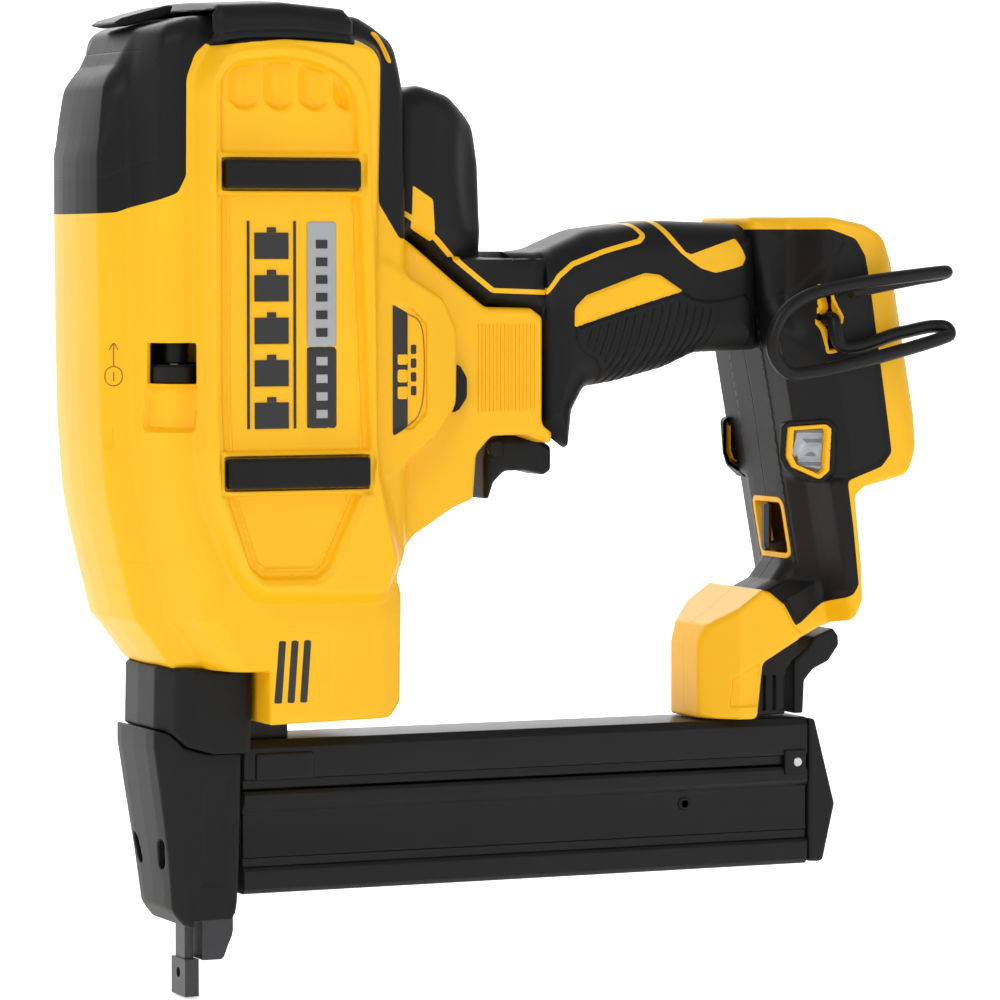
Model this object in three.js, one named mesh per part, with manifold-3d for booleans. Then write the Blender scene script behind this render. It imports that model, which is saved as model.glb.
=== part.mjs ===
// A cordless 18 gauge narrow-crown stapler, upright on its nose, without a battery.
// Millimetres. +Z up along the drive axis, +X to the rear (handle and foot), +Y to the tool's right side.
// The origin is on the sole of the contact foot, on the tool's centre plane.
import * as THREE from 'three';
import { mergeVertices } from 'three/addons/utils/BufferGeometryUtils.js';
import Module from 'manifold-3d';

const wasm = await Module();
wasm.setup();

// ---------------------------------------------------------------- driving dimensions
const GAP = 0.3;                 // clearance between touching pieces
const WALL = 3.2;                // moulded wall thickness
const SEAM = 0.15;               // half the gap between left and right mouldings
const FAR = 120;                 // longer than anything it cuts

const BODY_HALF = 36;            // half width of the body's flat side
const PLATEAU_HALF = 44;         // half width at the raised side panel
const BUMPER_HALF = 47;          // half width over the rubber side bumpers
const NECK_HALF = 20;            // half width around the trigger
const BOSS_HALF = 29;            // half width of the D-shaped boss behind the body
const BULGE_HALF = 26;           // half width of the rear bulge
const GRIP_HALF = 18;            // half width of the overmoulded grip
const FOOT_HALF = 36;            // half width of the battery foot
const FOOT_CORE_HALF = 13;       // half width of the foot's inner frame
const FOOT_LEVEL = 180;          // height at which the foot's section is given
const FOOT_LEAN = 0.18;          // how fast the foot leans back below it
const BLOCK_HALF = 20;           // half width of the block that stands on the magazine
const NOSE_HALF = 24;            // half width of the nose housing
const COVER_HALF = 20;           // half width of the nose cover
const MAG_HALF = 14;             // half width of the magazine

const LEAN_TOP = 180;            // the body's front leans back below this height
const LEAN_RATE = 0.003;         // how fast it leans

const MAG_FRONT = 13.2;          // front end of the magazine
const MAG_REAR = 207.6;          // rear end of the rail and the channel
const MAG_TOP = 78.9;            // top of the fixed rail
const MAG_SPLIT = 63.2;          // between the fixed rail and the sliding channel
const MAG_BOTTOM = 31.5;         // bottom of the sliding channel
const CORE_HALF = 2.5;           // half thickness of the staple rail
const CORE_TOP = 69;             // where the staple crowns ride

const WHEEL_AXIS = [-13.5, -27.5];   // depth wheel and depth rod, X and Y
const MOTOR_AXIS = [34.5, 205];      // motor and flywheel, X and Z
const FLYWHEEL_R = 27.5;
const ROD_AXIS = [4, 17];            // return rods, X and |Y|
const TRIGGER_PIVOT = [100, 166.5];  // X and Z
const ARM_PIVOT = [-5, 244];         // activation arm, X and Z
const ROLLER_AXIS = [-4.5, 207];     // pinch roller, X and Z

// ---------------------------------------------------------------- materials
const finish = (color, roughness, metalness) =>
  new THREE.MeshStandardMaterial({ color, roughness, metalness });
const YELLOW = finish('#f7b515', 0.45, 0);
const BLACK = finish('#2a2a2b', 0.7, 0);
const RUBBER = finish('#1d1f21', 0.85, 0);
const STEEL = finish('#8d9093', 0.35, 1);
const DARK_STEEL = finish('#2f3032', 0.45, 1);
const ALLOY = finish('#a9acae', 0.5, 1);
const COPPER = finish('#a8663a', 0.5, 1);
const BOARD = finish('#1f5a3a', 0.6, 0);
const LENS = finish('#c9cdd0', 0.1, 0);

// ---------------------------------------------------------------- helpers
const model = new THREE.Group();

// A three.js geometry as a solid that can be joined and cut.
function solid(geometry) {
  const bare = geometry.clone();
  bare.deleteAttribute('normal');
  bare.deleteAttribute('uv');
  const merged = mergeVertices(bare, 1e-4);
  return new wasm.Manifold(new wasm.Mesh({
    numProp: 3,
    vertProperties: new Float32Array(merged.attributes.position.array),
    triVerts: new Uint32Array(merged.index.array),
  }));
}

// Adds a finished solid to the model as one named mesh.
function piece(name, shape, material) {
  const mesh = shape.getMesh();
  const geometry = new THREE.BufferGeometry();
  geometry.setAttribute('position', new THREE.BufferAttribute(mesh.vertProperties, 3));
  geometry.setIndex(new THREE.BufferAttribute(mesh.triVerts, 1));
  const node = new THREE.Mesh(geometry, material);
  node.name = name;
  model.add(node);
}

// Corner points [a, b, radius] turned into an outline whose corners are arcs.
function rounded(points, segments = 3) {
  const outline = [];
  points.forEach(([x, y, radius = 0], i) => {
    const here = new THREE.Vector2(x, y);
    if (radius === 0) {
      outline.push(here);
      return;
    }
    const before = new THREE.Vector2(...points.at(i - 1).slice(0, 2)).sub(here);
    const after = new THREE.Vector2(...points[(i + 1) % points.length].slice(0, 2)).sub(here);
    const half = Math.acos(before.dot(after) / before.length() / after.length()) / 2;
    const reach = Math.min(radius / Math.tan(half), before.length() * 0.48, after.length() * 0.48);
    const start = before.setLength(reach).add(here);
    const end = after.setLength(reach).add(here);
    const curve = new THREE.QuadraticBezierCurve(start, here, end);
    outline.push(...curve.getPoints(segments));
  });
  return outline;
}

// Corner points moved inwards by a distance, or outwards when it is negative.
function inset(points, distance) {
  const at = (i) => new THREE.Vector2(...points.at(i % points.length).slice(0, 2));
  const turn = Math.sign(THREE.ShapeUtils.area(points.map((_, i) => at(i))));
  return points.map(([, , radius = 0], i) => {
    const here = at(i);
    const into = here.clone().sub(at(i + points.length - 1)).normalize();
    const out = at(i + 1).sub(here).normalize();
    const normal = new THREE.Vector2(-into.y - out.y, into.x + out.x).normalize();
    const spread = Math.max(normal.dot(new THREE.Vector2(-into.y, into.x)), 0.4);
    const moved = here.addScaledVector(normal, turn * distance / spread);
    return [moved.x, moved.y, radius > 0 ? Math.max(radius - distance, 0.5) : 0];
  });
}

// X-Z corner points given thickness between two Y values. A bevelled slab keeps its corners sharp.
function slab(points, y0, y1, bevel = 0) {
  const low = Math.min(y0, y1);
  const high = Math.max(y0, y1);
  const sharp = bevel > 0;
  const outline = new THREE.Shape(rounded(sharp ? points.map(([x, z]) => [x, z]) : points));
  const geometry = new THREE.ExtrudeGeometry(outline, {
    depth: high - low - 2 * bevel,
    bevelEnabled: sharp,
    bevelThickness: bevel,
    bevelSize: bevel,
    bevelOffset: -bevel,
    bevelSegments: 1,
  });
  geometry.rotateX(Math.PI / 2);
  geometry.translate(0, high - bevel, 0);
  return solid(geometry);
}

// An X-Y outline raised between two Z values, in equal steps.
function column(outline, z0, z1, steps = 1, reshape = null) {
  const geometry = new THREE.ExtrudeGeometry(new THREE.Shape(outline), {
    depth: z1 - z0,
    bevelEnabled: false,
    steps,
  });
  geometry.translate(0, 0, z0);
  if (reshape) reshape(geometry.attributes.position);
  return solid(geometry);
}

function block(x0, x1, y0, y1, z0, z1) {
  const geometry = new THREE.BoxGeometry(x1 - x0, Math.abs(y1 - y0), z1 - z0);
  geometry.translate((x0 + x1) / 2, (y0 + y1) / 2, (z0 + z1) / 2);
  return solid(geometry);
}

// A round bar along an axis; its centre is given in the two other directions, in X, Y, Z order.
function rod(axis, centre, radius, from, to, sides = 16) {
  const geometry = new THREE.CylinderGeometry(radius, radius, to - from, sides);
  const middle = (from + to) / 2;
  if (axis === 'x') {
    geometry.rotateZ(Math.PI / 2);
    geometry.translate(middle, centre[0], centre[1]);
  } else if (axis === 'y') {
    geometry.translate(centre[0], middle, centre[1]);
  } else {
    geometry.rotateX(Math.PI / 2);
    geometry.translate(centre[0], centre[1], middle);
  }
  return solid(geometry);
}

const joined = (...shapes) => shapes.reduce((sum, shape) => sum.add(shape));
const cut = (shape, ...tools) => tools.reduce((rest, tool) => rest.subtract(tool), shape);

// Everything on one side of the seam: -1 is the left half, +1 the right half.
const halfSpace = (side) =>
  side < 0
    ? block(-FAR, 3 * FAR, -FAR, -SEAM, -FAR, 4 * FAR)
    : block(-FAR, 3 * FAR, SEAM, FAR, -FAR, 4 * FAR);
const SIDES = [[-1, 'left'], [1, 'right']];

// ---------------------------------------------------------------- body outlines
// The body's section seen from above, one side of the centre plane, from the front to the rear.
const planHalf = [
  [-37.4, 0], [-35.3, 20.2], [-25.5, 23], [-19.5, 34.5], [-15, BODY_HALF],
  [50, BODY_HALF], [59, 32], [63.5, 23], [64, 0],
];
const cavityHalf = [
  [-34, 0], [-32.4, 17.2], [-22.5, 19.6], [-16.2, 32], [-14, 32.8],
  [49, 32.8], [56.5, 29.5], [60.3, 21.5], [60.6, 0],
];
const wholePlan = (half) => [
  ...half.map(([x, y]) => new THREE.Vector2(x, -y)),
  ...half.slice(1, -1).reverse().map(([x, y]) => new THREE.Vector2(x, y)),
];

// Moves the front of the body back towards its foot.
function leanBack(position) {
  for (let i = 0; i < position.count; i++) {
    const x = position.getX(i);
    const drop = Math.max(LEAN_TOP - position.getZ(i), 0);
    const share = THREE.MathUtils.clamp((40 - x) / 45, 0, 1);
    position.setX(i, x + LEAN_RATE * drop * drop * share);
  }
}

// Tilts the foot's section with its height.
function leanFoot(position) {
  for (let i = 0; i < position.count; i++) {
    position.setX(i, position.getX(i) + FOOT_LEAN * (FOOT_LEVEL - position.getZ(i)));
  }
}

const bodySide = [
  [-19.5, 103.5], [14, 101], [14, 85], [56, 85], [62.5, 91, 2], [62.5, 124, 2], [60, 129, 2], [64, 136],
  [64, 276, 14], [56, 296, 6], [40, 300], [-6, 299], [-22.5, 295.5, 3], [-29, 283], [-38, 276, 8],
  [-38, 170],
  [-36.5, 150], [-30.5, 128],
];
const bodyCavitySide = inset(bodySide, WALL);
const bodyOuter = column(wholePlan(planHalf), 80, 306, 20, leanBack).intersect(slab(bodySide, -FAR, FAR));
const bodyCavity = column(wholePlan(cavityHalf), 80, 306, 20, leanBack)
  .intersect(slab(bodyCavitySide, -FAR, FAR));

// The raised side panel and the shallow pocket in it.
const plateau = [
  [-12.5, 168], [-10, 154], [-2, 131], [6, 124], [45, 124], [48, 133], [48, 279], [45.5, 287],
  [39, 291.6],
  [-3, 291.6], [-8, 290], [-12.5, 280],
];
const pocket = [
  [-3.2, 160], [8, 131, 7], [35, 131, 7], [43, 160], [41.5, 286, 14], [-3.2, 286, 14],
];

// The yellow part of the body: what is left is overmoulded in black.
const yellowField = [
  [-60, 60], [80, 60], [80, 140], [118, 140], [118, 174], [111.6, 174.5],
  [111.6, 208, 2], [108, 211.2], [92, 211.7], [65, 231.6], [57, 232.5, 2], [48.3, 244, 2],
  [48.3, 292.3, 18],
  [-12.8, 292.3, 22], [-12.8, 250], [-26, 239.6, 4], [-60, 238.8],
];
// The covers over the top front corner.
const cornerField = [
  [-60, 248.4], [-33, 248.6, 3], [-23, 253.5, 3], [-15.5, 256.5], [-14.6, 288, 5], [-60, 288],
];
// The lower front covers.
const lowerField = [
  [-60, 60], [32.3, 60], [33.6, 114.2, 2], [8, 115.3, 8], [-4, 124, 4], [-9, 134.8, 4], [-60, 135.4],
];

// The D-shaped boss behind the body and the neck around the trigger.
const boss = [
  [40, 156], [52, 158.6], [74, 176, 4], [76.5, 212, 8], [50, 223], [40, 226],
];
const neck = [
  [40, 133], [60, 130], [66, 135], [81.5, 146.5, 3], [90, 150.8], [98, 151.5], [98, 166], [115, 167],
  [115, 172],
  [111.3, 174.5], [111.3, 208, 2], [108, 211], [92, 211.5], [64.5, 231.5], [40, 232],
];
const neckCavity = [
  [40, 137], [63, 137], [80, 150], [95.5, 155], [95.5, 170], [109, 170], [109, 208], [91, 208.3],
  [63, 228], [40, 228],
];

// ---------------------------------------------------------------- handle and foot outlines
const grip = [
  [112, 166.5], [124, 166.5, 1], [126.5, 182, 3], [131.5, 186.3, 3], [148.5, 188.4, 6], [164.5, 195, 8],
  [186, 197.3], [190, 235.4], [180, 237.6], [154, 238, 8], [131, 235.2, 8], [112, 228.2, 4],
  [101.5, 228.4],
  [101.5, 212.2], [112, 212.2],
];
const core = [
  [98, 208], [98, 215], [112, 224.5], [132, 231.5], [155, 234.5], [196, 233.5], [196, 200.5],
  [164, 198.5],
  [148, 192], [129, 189.7], [112.3, 189.7], [106, 190], [106, 208],
];
const coreCavity = [
  [94, 207], [108, 214], [114, 221.5], [133, 228.3], [156, 231.2], [199, 230.2], [199, 204], [163, 201.8],
  [147, 195.3], [128, 193], [109, 193], [103, 196], [94, 196],
];
const footSide = [
  [189.5, 197.5], [193.8, 180.6], [198.2, 150.2], [202, 129, 4], [196, 122.5, 2], [186, 117], [186, 108],
  [206, 107, 2], [217.5, 114, 8], [219.5, 122], [216.5, 151.5, 2], [236.5, 156, 8], [239.5, 170, 6],
  [229.5, 227, 6], [219, 239, 10], [179.5, 239.3, 4], [178, 235.2], [184, 235.2],
];
const footBlack = [
  [160, 235.6], [150, 197], [180, 160], [180, 121.4], [189, 121], [194.5, 118.5, 3], [200.5, 109.8],
  [213, 117, 5], [214.5, 121], [210, 154.3, 2], [225, 160.5, 3], [226.5, 166], [218, 225, 6],
  [206, 235.6, 6],
];
// The foot's section seen from above at the height FOOT_LEVEL; it leans back towards the magazine.
const footPlanHalf = [
  [193.8, 0], [195, 23.5], [206.5, 35], [209, FOOT_HALF], [228, FOOT_HALF], [236, 28], [238, 0],
];
const footCore = [
  [188, 199], [196.5, 181], [201, 152], [205, 128], [206, 112], [212, 118], [208, 157], [222, 164],
  [214, 222], [203, 232], [188, 232],
];
const footCavity = [
  [186, 204], [195, 204], [200, 181], [204, 155], [206, 140], [204.5, 160], [218, 167], [211, 221],
  [202, 228.5], [186, 228.5],
];
const blockSide = [
  [169.4, 104], [169.3, 79.3, 1], [187, 79.3, 2], [188.5, 97, 3], [206, 107, 2], [209, 111],
  [200.5, 109.5], [194.5, 118.2, 3], [189, 120.7], [172, 108.5, 4],
];
const blockPlanHalf = [[169.3, 0], [170.3, 10], [180, BLOCK_HALF], [240, BLOCK_HALF], [240, 0]];

// ---------------------------------------------------------------- openings shared by several pieces
const triggerSlot = block(95, 124.8, -9, 9, 140, 186);
const lockHole = slab([[79, 178], [86, 178, 4], [86, 194.3, 4], [79, 194.3]], -FAR, FAR);
const wheelWindow = block(-27, -4, -FAR, -17, 187.3, 202.2);
const magazineLug = block(16.5, 30.5, -9, 9, 80, 104);
const keySlot = slab([[190, 150.5], [196, 130], [206, 130], [206, 146], [204, 150.5]], -4.5, 4.5);
const dock = block(205, FAR * 2, -26, 26, 168, 226);
const hookSlot = slab(
  [[199.5, 218.5], [197.5, 205], [199.5, 196.5], [206, 196.5], [207.5, 210],
  [205, 218.5]], -FAR, 2.1 - FOOT_HALF,
);

// ---------------------------------------------------------------- clamshell halves and what covers them
const neckBlock = slab(neck, -NECK_HALF, NECK_HALF, 2);
const bodyShell = cut(
  joined(bodyOuter, neckBlock, slab(boss, -BOSS_HALF, BOSS_HALF, 3)),
  bodyCavity,
  slab(neckCavity, WALL - NECK_HALF, NECK_HALF - WALL),
);
const bumperRows = [['upper', [-4.2, 39.5, 247, 256]], ['lower', [-3.4, 42.4, 157.3, 166.8]]];
const bumperOutline = ([x0, x1, z0, z1]) => [[x0, z0], [x1, z0], [x1, z1], [x0, z1]];
const panels = (side) => cut(
  slab(plateau, side * (BODY_HALF - 2), side * PLATEAU_HALF, 1.5),
  slab(pocket, side * (PLATEAU_HALF - 2.5), side * FAR),
  ...bumperRows.map(([, edges]) =>
    slab(inset(bumperOutline(edges), -GAP), side * (PLATEAU_HALF - 2.5), side * FAR)),
);
const CORE_HALF_WIDTH = GRIP_HALF - WALL;
const handleCore = cut(
  joined(slab(core, -CORE_HALF_WIDTH, CORE_HALF_WIDTH), slab(footCore, -FOOT_CORE_HALF, FOOT_CORE_HALF)),
  slab(coreCavity, WALL - CORE_HALF_WIDTH, CORE_HALF_WIDTH - WALL),
  slab(footCavity, WALL - FOOT_CORE_HALF, FOOT_CORE_HALF - WALL),
);
const footWhole = column(wholePlan(footPlanHalf), 90, 250, 1, leanFoot)
  .intersect(slab(footSide, -FAR, FAR));
const footRim = cut(footWhole, slab(footBlack, -FAR, FAR));
const footBlock = column(wholePlan(blockPlanHalf), 70, 130).intersect(slab(blockSide, -FAR, FAR));

SIDES.forEach(([side, name]) => {
  const shell = joined(
    bodyShell.intersect(slab(yellowField, -FAR, FAR)),
    panels(side),
    handleCore,
    footRim,
    footBlock,
  );
  const half = cut(
    shell.intersect(halfSpace(side)),
    slab(inset(lowerField, -GAP), -FAR, FAR),
    triggerSlot, lockHole, wheelWindow, keySlot, dock,
    block(94, 118, WALL - NECK_HALF, NECK_HALF - WALL, 172, 206),
  );
  piece(`housing_${name}`, half, YELLOW);

  const lower = cut(
    bodyShell.intersect(slab(lowerField, -FAR, FAR)).intersect(halfSpace(side)),
    magazineLug,
    block(-FAR, 14.4, -FAR, FAR, 60, 101.4),
    block(-9.5, 13, -11, 11, 90, 108),
  );
  piece(`front_cover_${name}`, lower, YELLOW);

  const top = cut(
    bodyShell.intersect(halfSpace(side)),
    slab(inset(yellowField, -GAP), -FAR, FAR),
    slab(inset(cornerField, -GAP), -FAR, FAR),
    block(58, FAR, 2 - BULGE_HALF, BULGE_HALF - 2, 200, 274),
    block(65, FAR, -FAR, FAR, 100, 231.8),
    slab(inset(plateau, -GAP), side * (BODY_HALF - 3), side * FAR),
  );
  piece(`top_overmould_${name}`, top, BLACK);

  const corner = bodyShell.intersect(slab(cornerField, -FAR, FAR)).intersect(halfSpace(side));
  piece(`corner_cover_${name}`, corner, BLACK);
});

// ---------------------------------------------------------------- rear bulge, grip and foot covers
const bulgeSide = [
  [64.4, 232], [64.4, 278.5], [72, 277, 2], [86, 268, 10], [94, 256, 10], [96.3, 238, 8], [100.8, 228.9],
  [100.8, 208.5], [93, 214], [67, 232.5],
];
const bulgeCavitySide = [
  [60, 236], [60, 274], [72, 273.5], [84, 265, 8], [90.5, 255, 8], [92.8, 238, 6], [96, 229], [96, 217.2],
  [94, 217.2], [68, 236],
];
const bulgeSection = [
  [40, -BULGE_HALF], [78, -BULGE_HALF, 6], [96.5, -12, 12], [96.5, 12, 12], [78, BULGE_HALF, 6],
  [40, BULGE_HALF],
];
const bulgeFoot = block(40, 101, -NECK_HALF, NECK_HALF, 200, 236);
const bulgeWhole = slab(bulgeSide, -FAR, FAR).intersect(
  joined(column(rounded(bulgeSection), 236, 290), bulgeFoot, column(rounded(bulgeSection), 231, 237)),
);
piece('bulge_cover', cut(
  bulgeWhole,
  slab(bulgeCavitySide, WALL - BULGE_HALF, BULGE_HALF - WALL).intersect(
    joined(block(40, 101, WALL - BULGE_HALF, BULGE_HALF - WALL, 232, 290),
      block(40, 101, WALL - NECK_HALF, NECK_HALF - WALL, 200, 240)),
  ),
  slab(inset(core, -GAP), -CORE_HALF_WIDTH - GAP, CORE_HALF_WIDTH + GAP),
  slab(inset(neck, -GAP), -NECK_HALF - GAP, NECK_HALF + GAP),
), BLACK);

const gripWhole = slab(grip, -GRIP_HALF, GRIP_HALF, 4);
const gripCore = slab(inset(core, -GAP), -CORE_HALF_WIDTH - GAP, CORE_HALF_WIDTH + GAP);
const footCoreRoom = slab(inset(footCore, -GAP), -FOOT_CORE_HALF - GAP, FOOT_CORE_HALF + GAP);
const ledRoom = (side) => block(194, 212, side * 24, side * FAR, 156, 174.5);
const footSideNotch = (side) => block(180, 202.6, side * 14.5, side * FAR, 124.5, 155);
const footHollow = [
  [202, 205], [207, 176], [211, 164], [219, 166], [211, 222], [202, 229],
];

SIDES.forEach(([side, name]) => {
  piece(`grip_${name}`, cut(
    gripWhole.intersect(halfSpace(side)),
    gripCore,
    slab(inset(neck, -GAP), -NECK_HALF - GAP, NECK_HALF + GAP),
    slab(inset(footSide, -GAP), -FAR, FAR),
    triggerSlot,
  ), RUBBER);

  piece(`foot_cover_${name}`, cut(
    footWhole.intersect(slab(inset(footBlack, GAP), -FAR, FAR)).intersect(halfSpace(side)),
    footCoreRoom,
    gripCore,
    slab(footHollow, side * (FOOT_CORE_HALF - 1), side * (FOOT_HALF - WALL)),
    ledRoom(side), footSideNotch(side), keySlot, dock, hookSlot,
    slab(inset(blockSide, -GAP), -BLOCK_HALF - GAP, BLOCK_HALF + GAP),
  ), BLACK);

  piece(`led_lens_${name}`, slab(
    [[196.5, 172.5], [198, 163], [205, 157.5], [206.5, 159], [206.5, 173, 1]], side * 24.3, side * 33, 1,
  ), LENS);

  bumperRows.forEach(([row, edges]) => {
    piece(`side_bumper_${row}_${name}`, slab(
      bumperOutline(edges), side * (PLATEAU_HALF - 2.2), side * BUMPER_HALF, 1,
    ), RUBBER);
  });
});

// ---------------------------------------------------------------- top bumper and stall release lever
const strapSide = [[-5.5, 292.8], [39.3, 292.8], [39.3, 301], [36, 303.4, 2], [17, 304.6, 10],
  [-5.5, 303.2]];
piece('top_bumper', cut(
  slab(strapSide, -43, 43, 2.5),
  bodyOuter.add(block(-10, 45, -BODY_HALF - GAP, BODY_HALF + GAP, 280, 300.4)),
  ...SIDES.map(([side]) => slab(inset(plateau, -GAP), side * (BODY_HALF - 3), side * (PLATEAU_HALF + 1))),
), RUBBER);
piece('stall_lever', slab(
  [[-27, 296.4], [-22.2, 296.2], [-11.4, 298.9], [-8.2, 300.6], [-7.6, 303], [-10, 302.2],
  [-24, 298.4]], -11, 11, 0.5,
), BLACK);

// ---------------------------------------------------------------- nose
// The housing meets the cover along this line on the side.
const noseSplit = [[-30, 84.6], [-15, 83.2], [-11.5, 82.2], [-7.5, 78.3, 3], [0, 76.1, 4], [30, 75.8]];
const aboveSplit = [...noseSplit, [30, 130], [-30, 130]];
const belowSplit = [...noseSplit.map(([x, z]) => [x, z - GAP]), [30, 0], [-30, 0]].reverse();
const noseHousingSide = [[-15.8, 102.7], [-14.2, 74], [-8, 72], [9, 72], [12.8, 76], [13.2, 100.4]];
const noseHousingPlan = [
  [-17, -17, 4], [-9, -NOSE_HALF, 5], [13.2, -NOSE_HALF, 3], [13.2, NOSE_HALF, 3], [-9, NOSE_HALF, 5],
  [-17, 17, 4],
];
const noseHousingRoom = [[-11.8, -14], [-7, 3 - NOSE_HALF], [10.5, 3 - NOSE_HALF], [10.5, NOSE_HALF - 3],
  [-7, NOSE_HALF - 3], [-11.8, 14]];
piece('nose_housing', cut(
  column(rounded(noseHousingPlan), 70, 106).intersect(slab(noseHousingSide, -FAR, FAR)),
  column(rounded(noseHousingRoom), 60, 110),
  block(5, 14, -MAG_HALF - 1, MAG_HALF + 1, 60, 79.5),
).intersect(slab(aboveSplit, -FAR, FAR)), BLACK);

const noseCoverSide = [
  [-14, 86], [-17.6, 78.6, 1], [-13, 52], [-9.2, 30.5, 3], [-5.5, 23.5, 3], [2, 20.5], [9.5, 20.5, 2],
  [11, 31],
  [11, 86],
];
const noseCoverRoom = [[-10.5, 90], [-13.8, 78], [-9.4, 52], [-5.6, 31.5], [-3.4, 26.5], [-3.4, 0],
  [20, 0], [20, 90]];
const noseCoverPlan = (front, half) => [
  [front, -half + 3], [front + 7, -half], [20, -half], [20, half], [front + 7, half], [front, half - 3],
];
// Narrows the cover towards its tip and slopes its front face.
function taperNose(position) {
  for (let i = 0; i < position.count; i++) {
    const down = THREE.MathUtils.clamp((78 - position.getZ(i)) / 58, 0, 1);
    position.setX(i, position.getX(i) + 8.6 * down * THREE.MathUtils.clamp((8 - position.getX(i)) / 20,
      0, 1));
    position.setY(i, position.getY(i) * (1 - 0.24 * down * down));
  }
}
const screwHoles = joined(
  rod('x', [-10.3, 45], 2.6, -20, -8), rod('x', [10.3, 45], 2.6, -20, -8),
  rod('x', [-10.3, 45], 1.7, -20, 0), rod('x', [10.3, 45], 1.7, -20, 0),
);
piece('nose_cover', cut(
  column(noseCoverPlan(-17.6, COVER_HALF).map((p) => new THREE.Vector2(...p)), 18, 90, 8, taperNose)
    .intersect(slab(noseCoverSide, -FAR, FAR)),
  column(noseCoverPlan(-14.4, COVER_HALF - 3).map((p) => new THREE.Vector2(...p)), 10, 95, 8, taperNose)
    .intersect(slab(noseCoverRoom, -FAR, FAR)),
  screwHoles,
).intersect(slab(belowSplit, -FAR, FAR)), BLACK);
SIDES.forEach(([side, name]) => {
  piece(`nose_screw_${name}`, joined(
    rod('x', [side * 10.3, 45], 2.3, -10.6, -8.2),
    rod('x', [side * 10.3, 45], 1.4, -9, 1.2),
  ), STEEL);
});

const NOSEPIECE_FRONT = 1.9;
const BLADE = [3.2, 4.6];
const nosepieceSide = [
  [NOSEPIECE_FRONT, 12], [9, 12], [12, 20], [12, 75], [NOSEPIECE_FRONT, 75],
];
piece('nosepiece', cut(
  slab(nosepieceSide, -8, 8),
  block(BLADE[0] - GAP, BLADE[1] + GAP, -3.5, 3.5, 0, 90),
  block(BLADE[1], 20, -4, 4, 32, 90),
), DARK_STEEL);

// ---------------------------------------------------------------- contact arm, depth wheel and foot
const [WHEEL_X, WHEEL_Y] = WHEEL_AXIS;
piece('contact_arm', joined(
  block(-5.6, -3.2, -7, 7, 46, 163),
  block(-5.6, -3.2, WHEEL_Y - 2, 0, 158, 163),
  block(WHEEL_X - 1.2, -3.2, WHEEL_Y - 2, WHEEL_Y + 3, 158, 163),
), DARK_STEEL);
piece('depth_rod', rod('z', WHEEL_AXIS, 2, 163.3, 200.5), STEEL);
piece('depth_wheel', cut(
  joined(...Array.from({ length: 12 }, (_, i) => {
    const turn = (i / 12) * 2 * Math.PI;
    return rod('z', [WHEEL_X + 7.6 * Math.cos(turn), WHEEL_Y + 7.6 * Math.sin(turn)], 1.3, 188.6,
      194.6, 8);
  }), rod('z', WHEEL_AXIS, 8, 188.6, 194.6, 24)),
  rod('z', WHEEL_AXIS, 2 + GAP, 180, 200),
), BLACK);
const footSole = cut(
  joined(
    block(-3, 1.5, -6, 6, 0, 11.5),
    block(-2.4, 0.4, -4, 4, 11, 90),
  ),
  rod('x', [0, 7], 1.6, -5, 3, 12),
);
piece('contact_foot', footSole, DARK_STEEL);
const ringProfile = (inner, outer, z0, z1) => new THREE.LatheGeometry([
  new THREE.Vector2(inner, z0), new THREE.Vector2(outer, z0), new THREE.Vector2(outer, z1),
  new THREE.Vector2(inner, z1), new THREE.Vector2(inner, z0),
], 16).rotateX(Math.PI / 2);
function ring(x, y, inner, outer, z0, z1) {
  return solid(ringProfile(inner, outer, z0, z1).translate(x, y, 0));
}
piece('contact_spring', ring(-4.4, 0, 2, 3.4, 163.4, 196), STEEL);

// ---------------------------------------------------------------- magazine
piece('magazine_rail', cut(
  joined(
    block(MAG_FRONT, MAG_REAR, -MAG_HALF, MAG_HALF, MAG_SPLIT + GAP, MAG_TOP),
    block(17, 30, -8, 8, MAG_TOP - 1, 104),
  ),
  block(0, MAG_REAR + 1, -8, 8, 50, 74),
  block(MAG_FRONT - 1, MAG_REAR + 1, MAG_HALF - 1, MAG_HALF + 1, MAG_SPLIT, 67),
  block(MAG_FRONT - 1, MAG_REAR + 1, -MAG_HALF - 1, 1 - MAG_HALF, MAG_SPLIT, 67),
), BLACK);
const flank = (side) => block(0, FAR * 3, side * (MAG_HALF - 1.6), side * FAR, 41, 57);
piece('magazine_channel', cut(
  block(MAG_FRONT, MAG_REAR, -MAG_HALF, MAG_HALF, MAG_BOTTOM, MAG_SPLIT),
  block(0, MAG_REAR + 1, -8, 8, MAG_BOTTOM + 2.5, 80),
  flank(-1), flank(1),
), BLACK);
piece('staple_rail', block(14, MAG_REAR - 0.6, -CORE_HALF, CORE_HALF, MAG_BOTTOM + 2.8, CORE_TOP), STEEL);
piece('magazine_end_cap', slab([
  [MAG_REAR + GAP, MAG_BOTTOM + 0.3], [213.2, 32.2], [217.4, 51], [210.4, 78], [MAG_REAR + GAP, 78.4],
], -MAG_HALF, MAG_HALF, 1), BLACK);
piece('pusher', cut(
  block(15, 34, -7.4, 7.4, 36, 73.2),
  block(10, 40, -CORE_HALF - 0.4, CORE_HALF + 0.4, 30, CORE_TOP + 0.5),
), STEEL);
const latchHousing = [
  [188.4, 95], [187.6, 79.6], [199.2, 79.6], [199.2, 96, 2], [207.5, 100.4], [206.2, 106.4],
  [189.4, 97.5],
];
piece('latch_housing', cut(
  slab(latchHousing, -12.5, 12.5),
  slab(inset(blockSide, -GAP), -BLOCK_HALF - GAP, BLOCK_HALF + GAP),
), BLACK);
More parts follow.
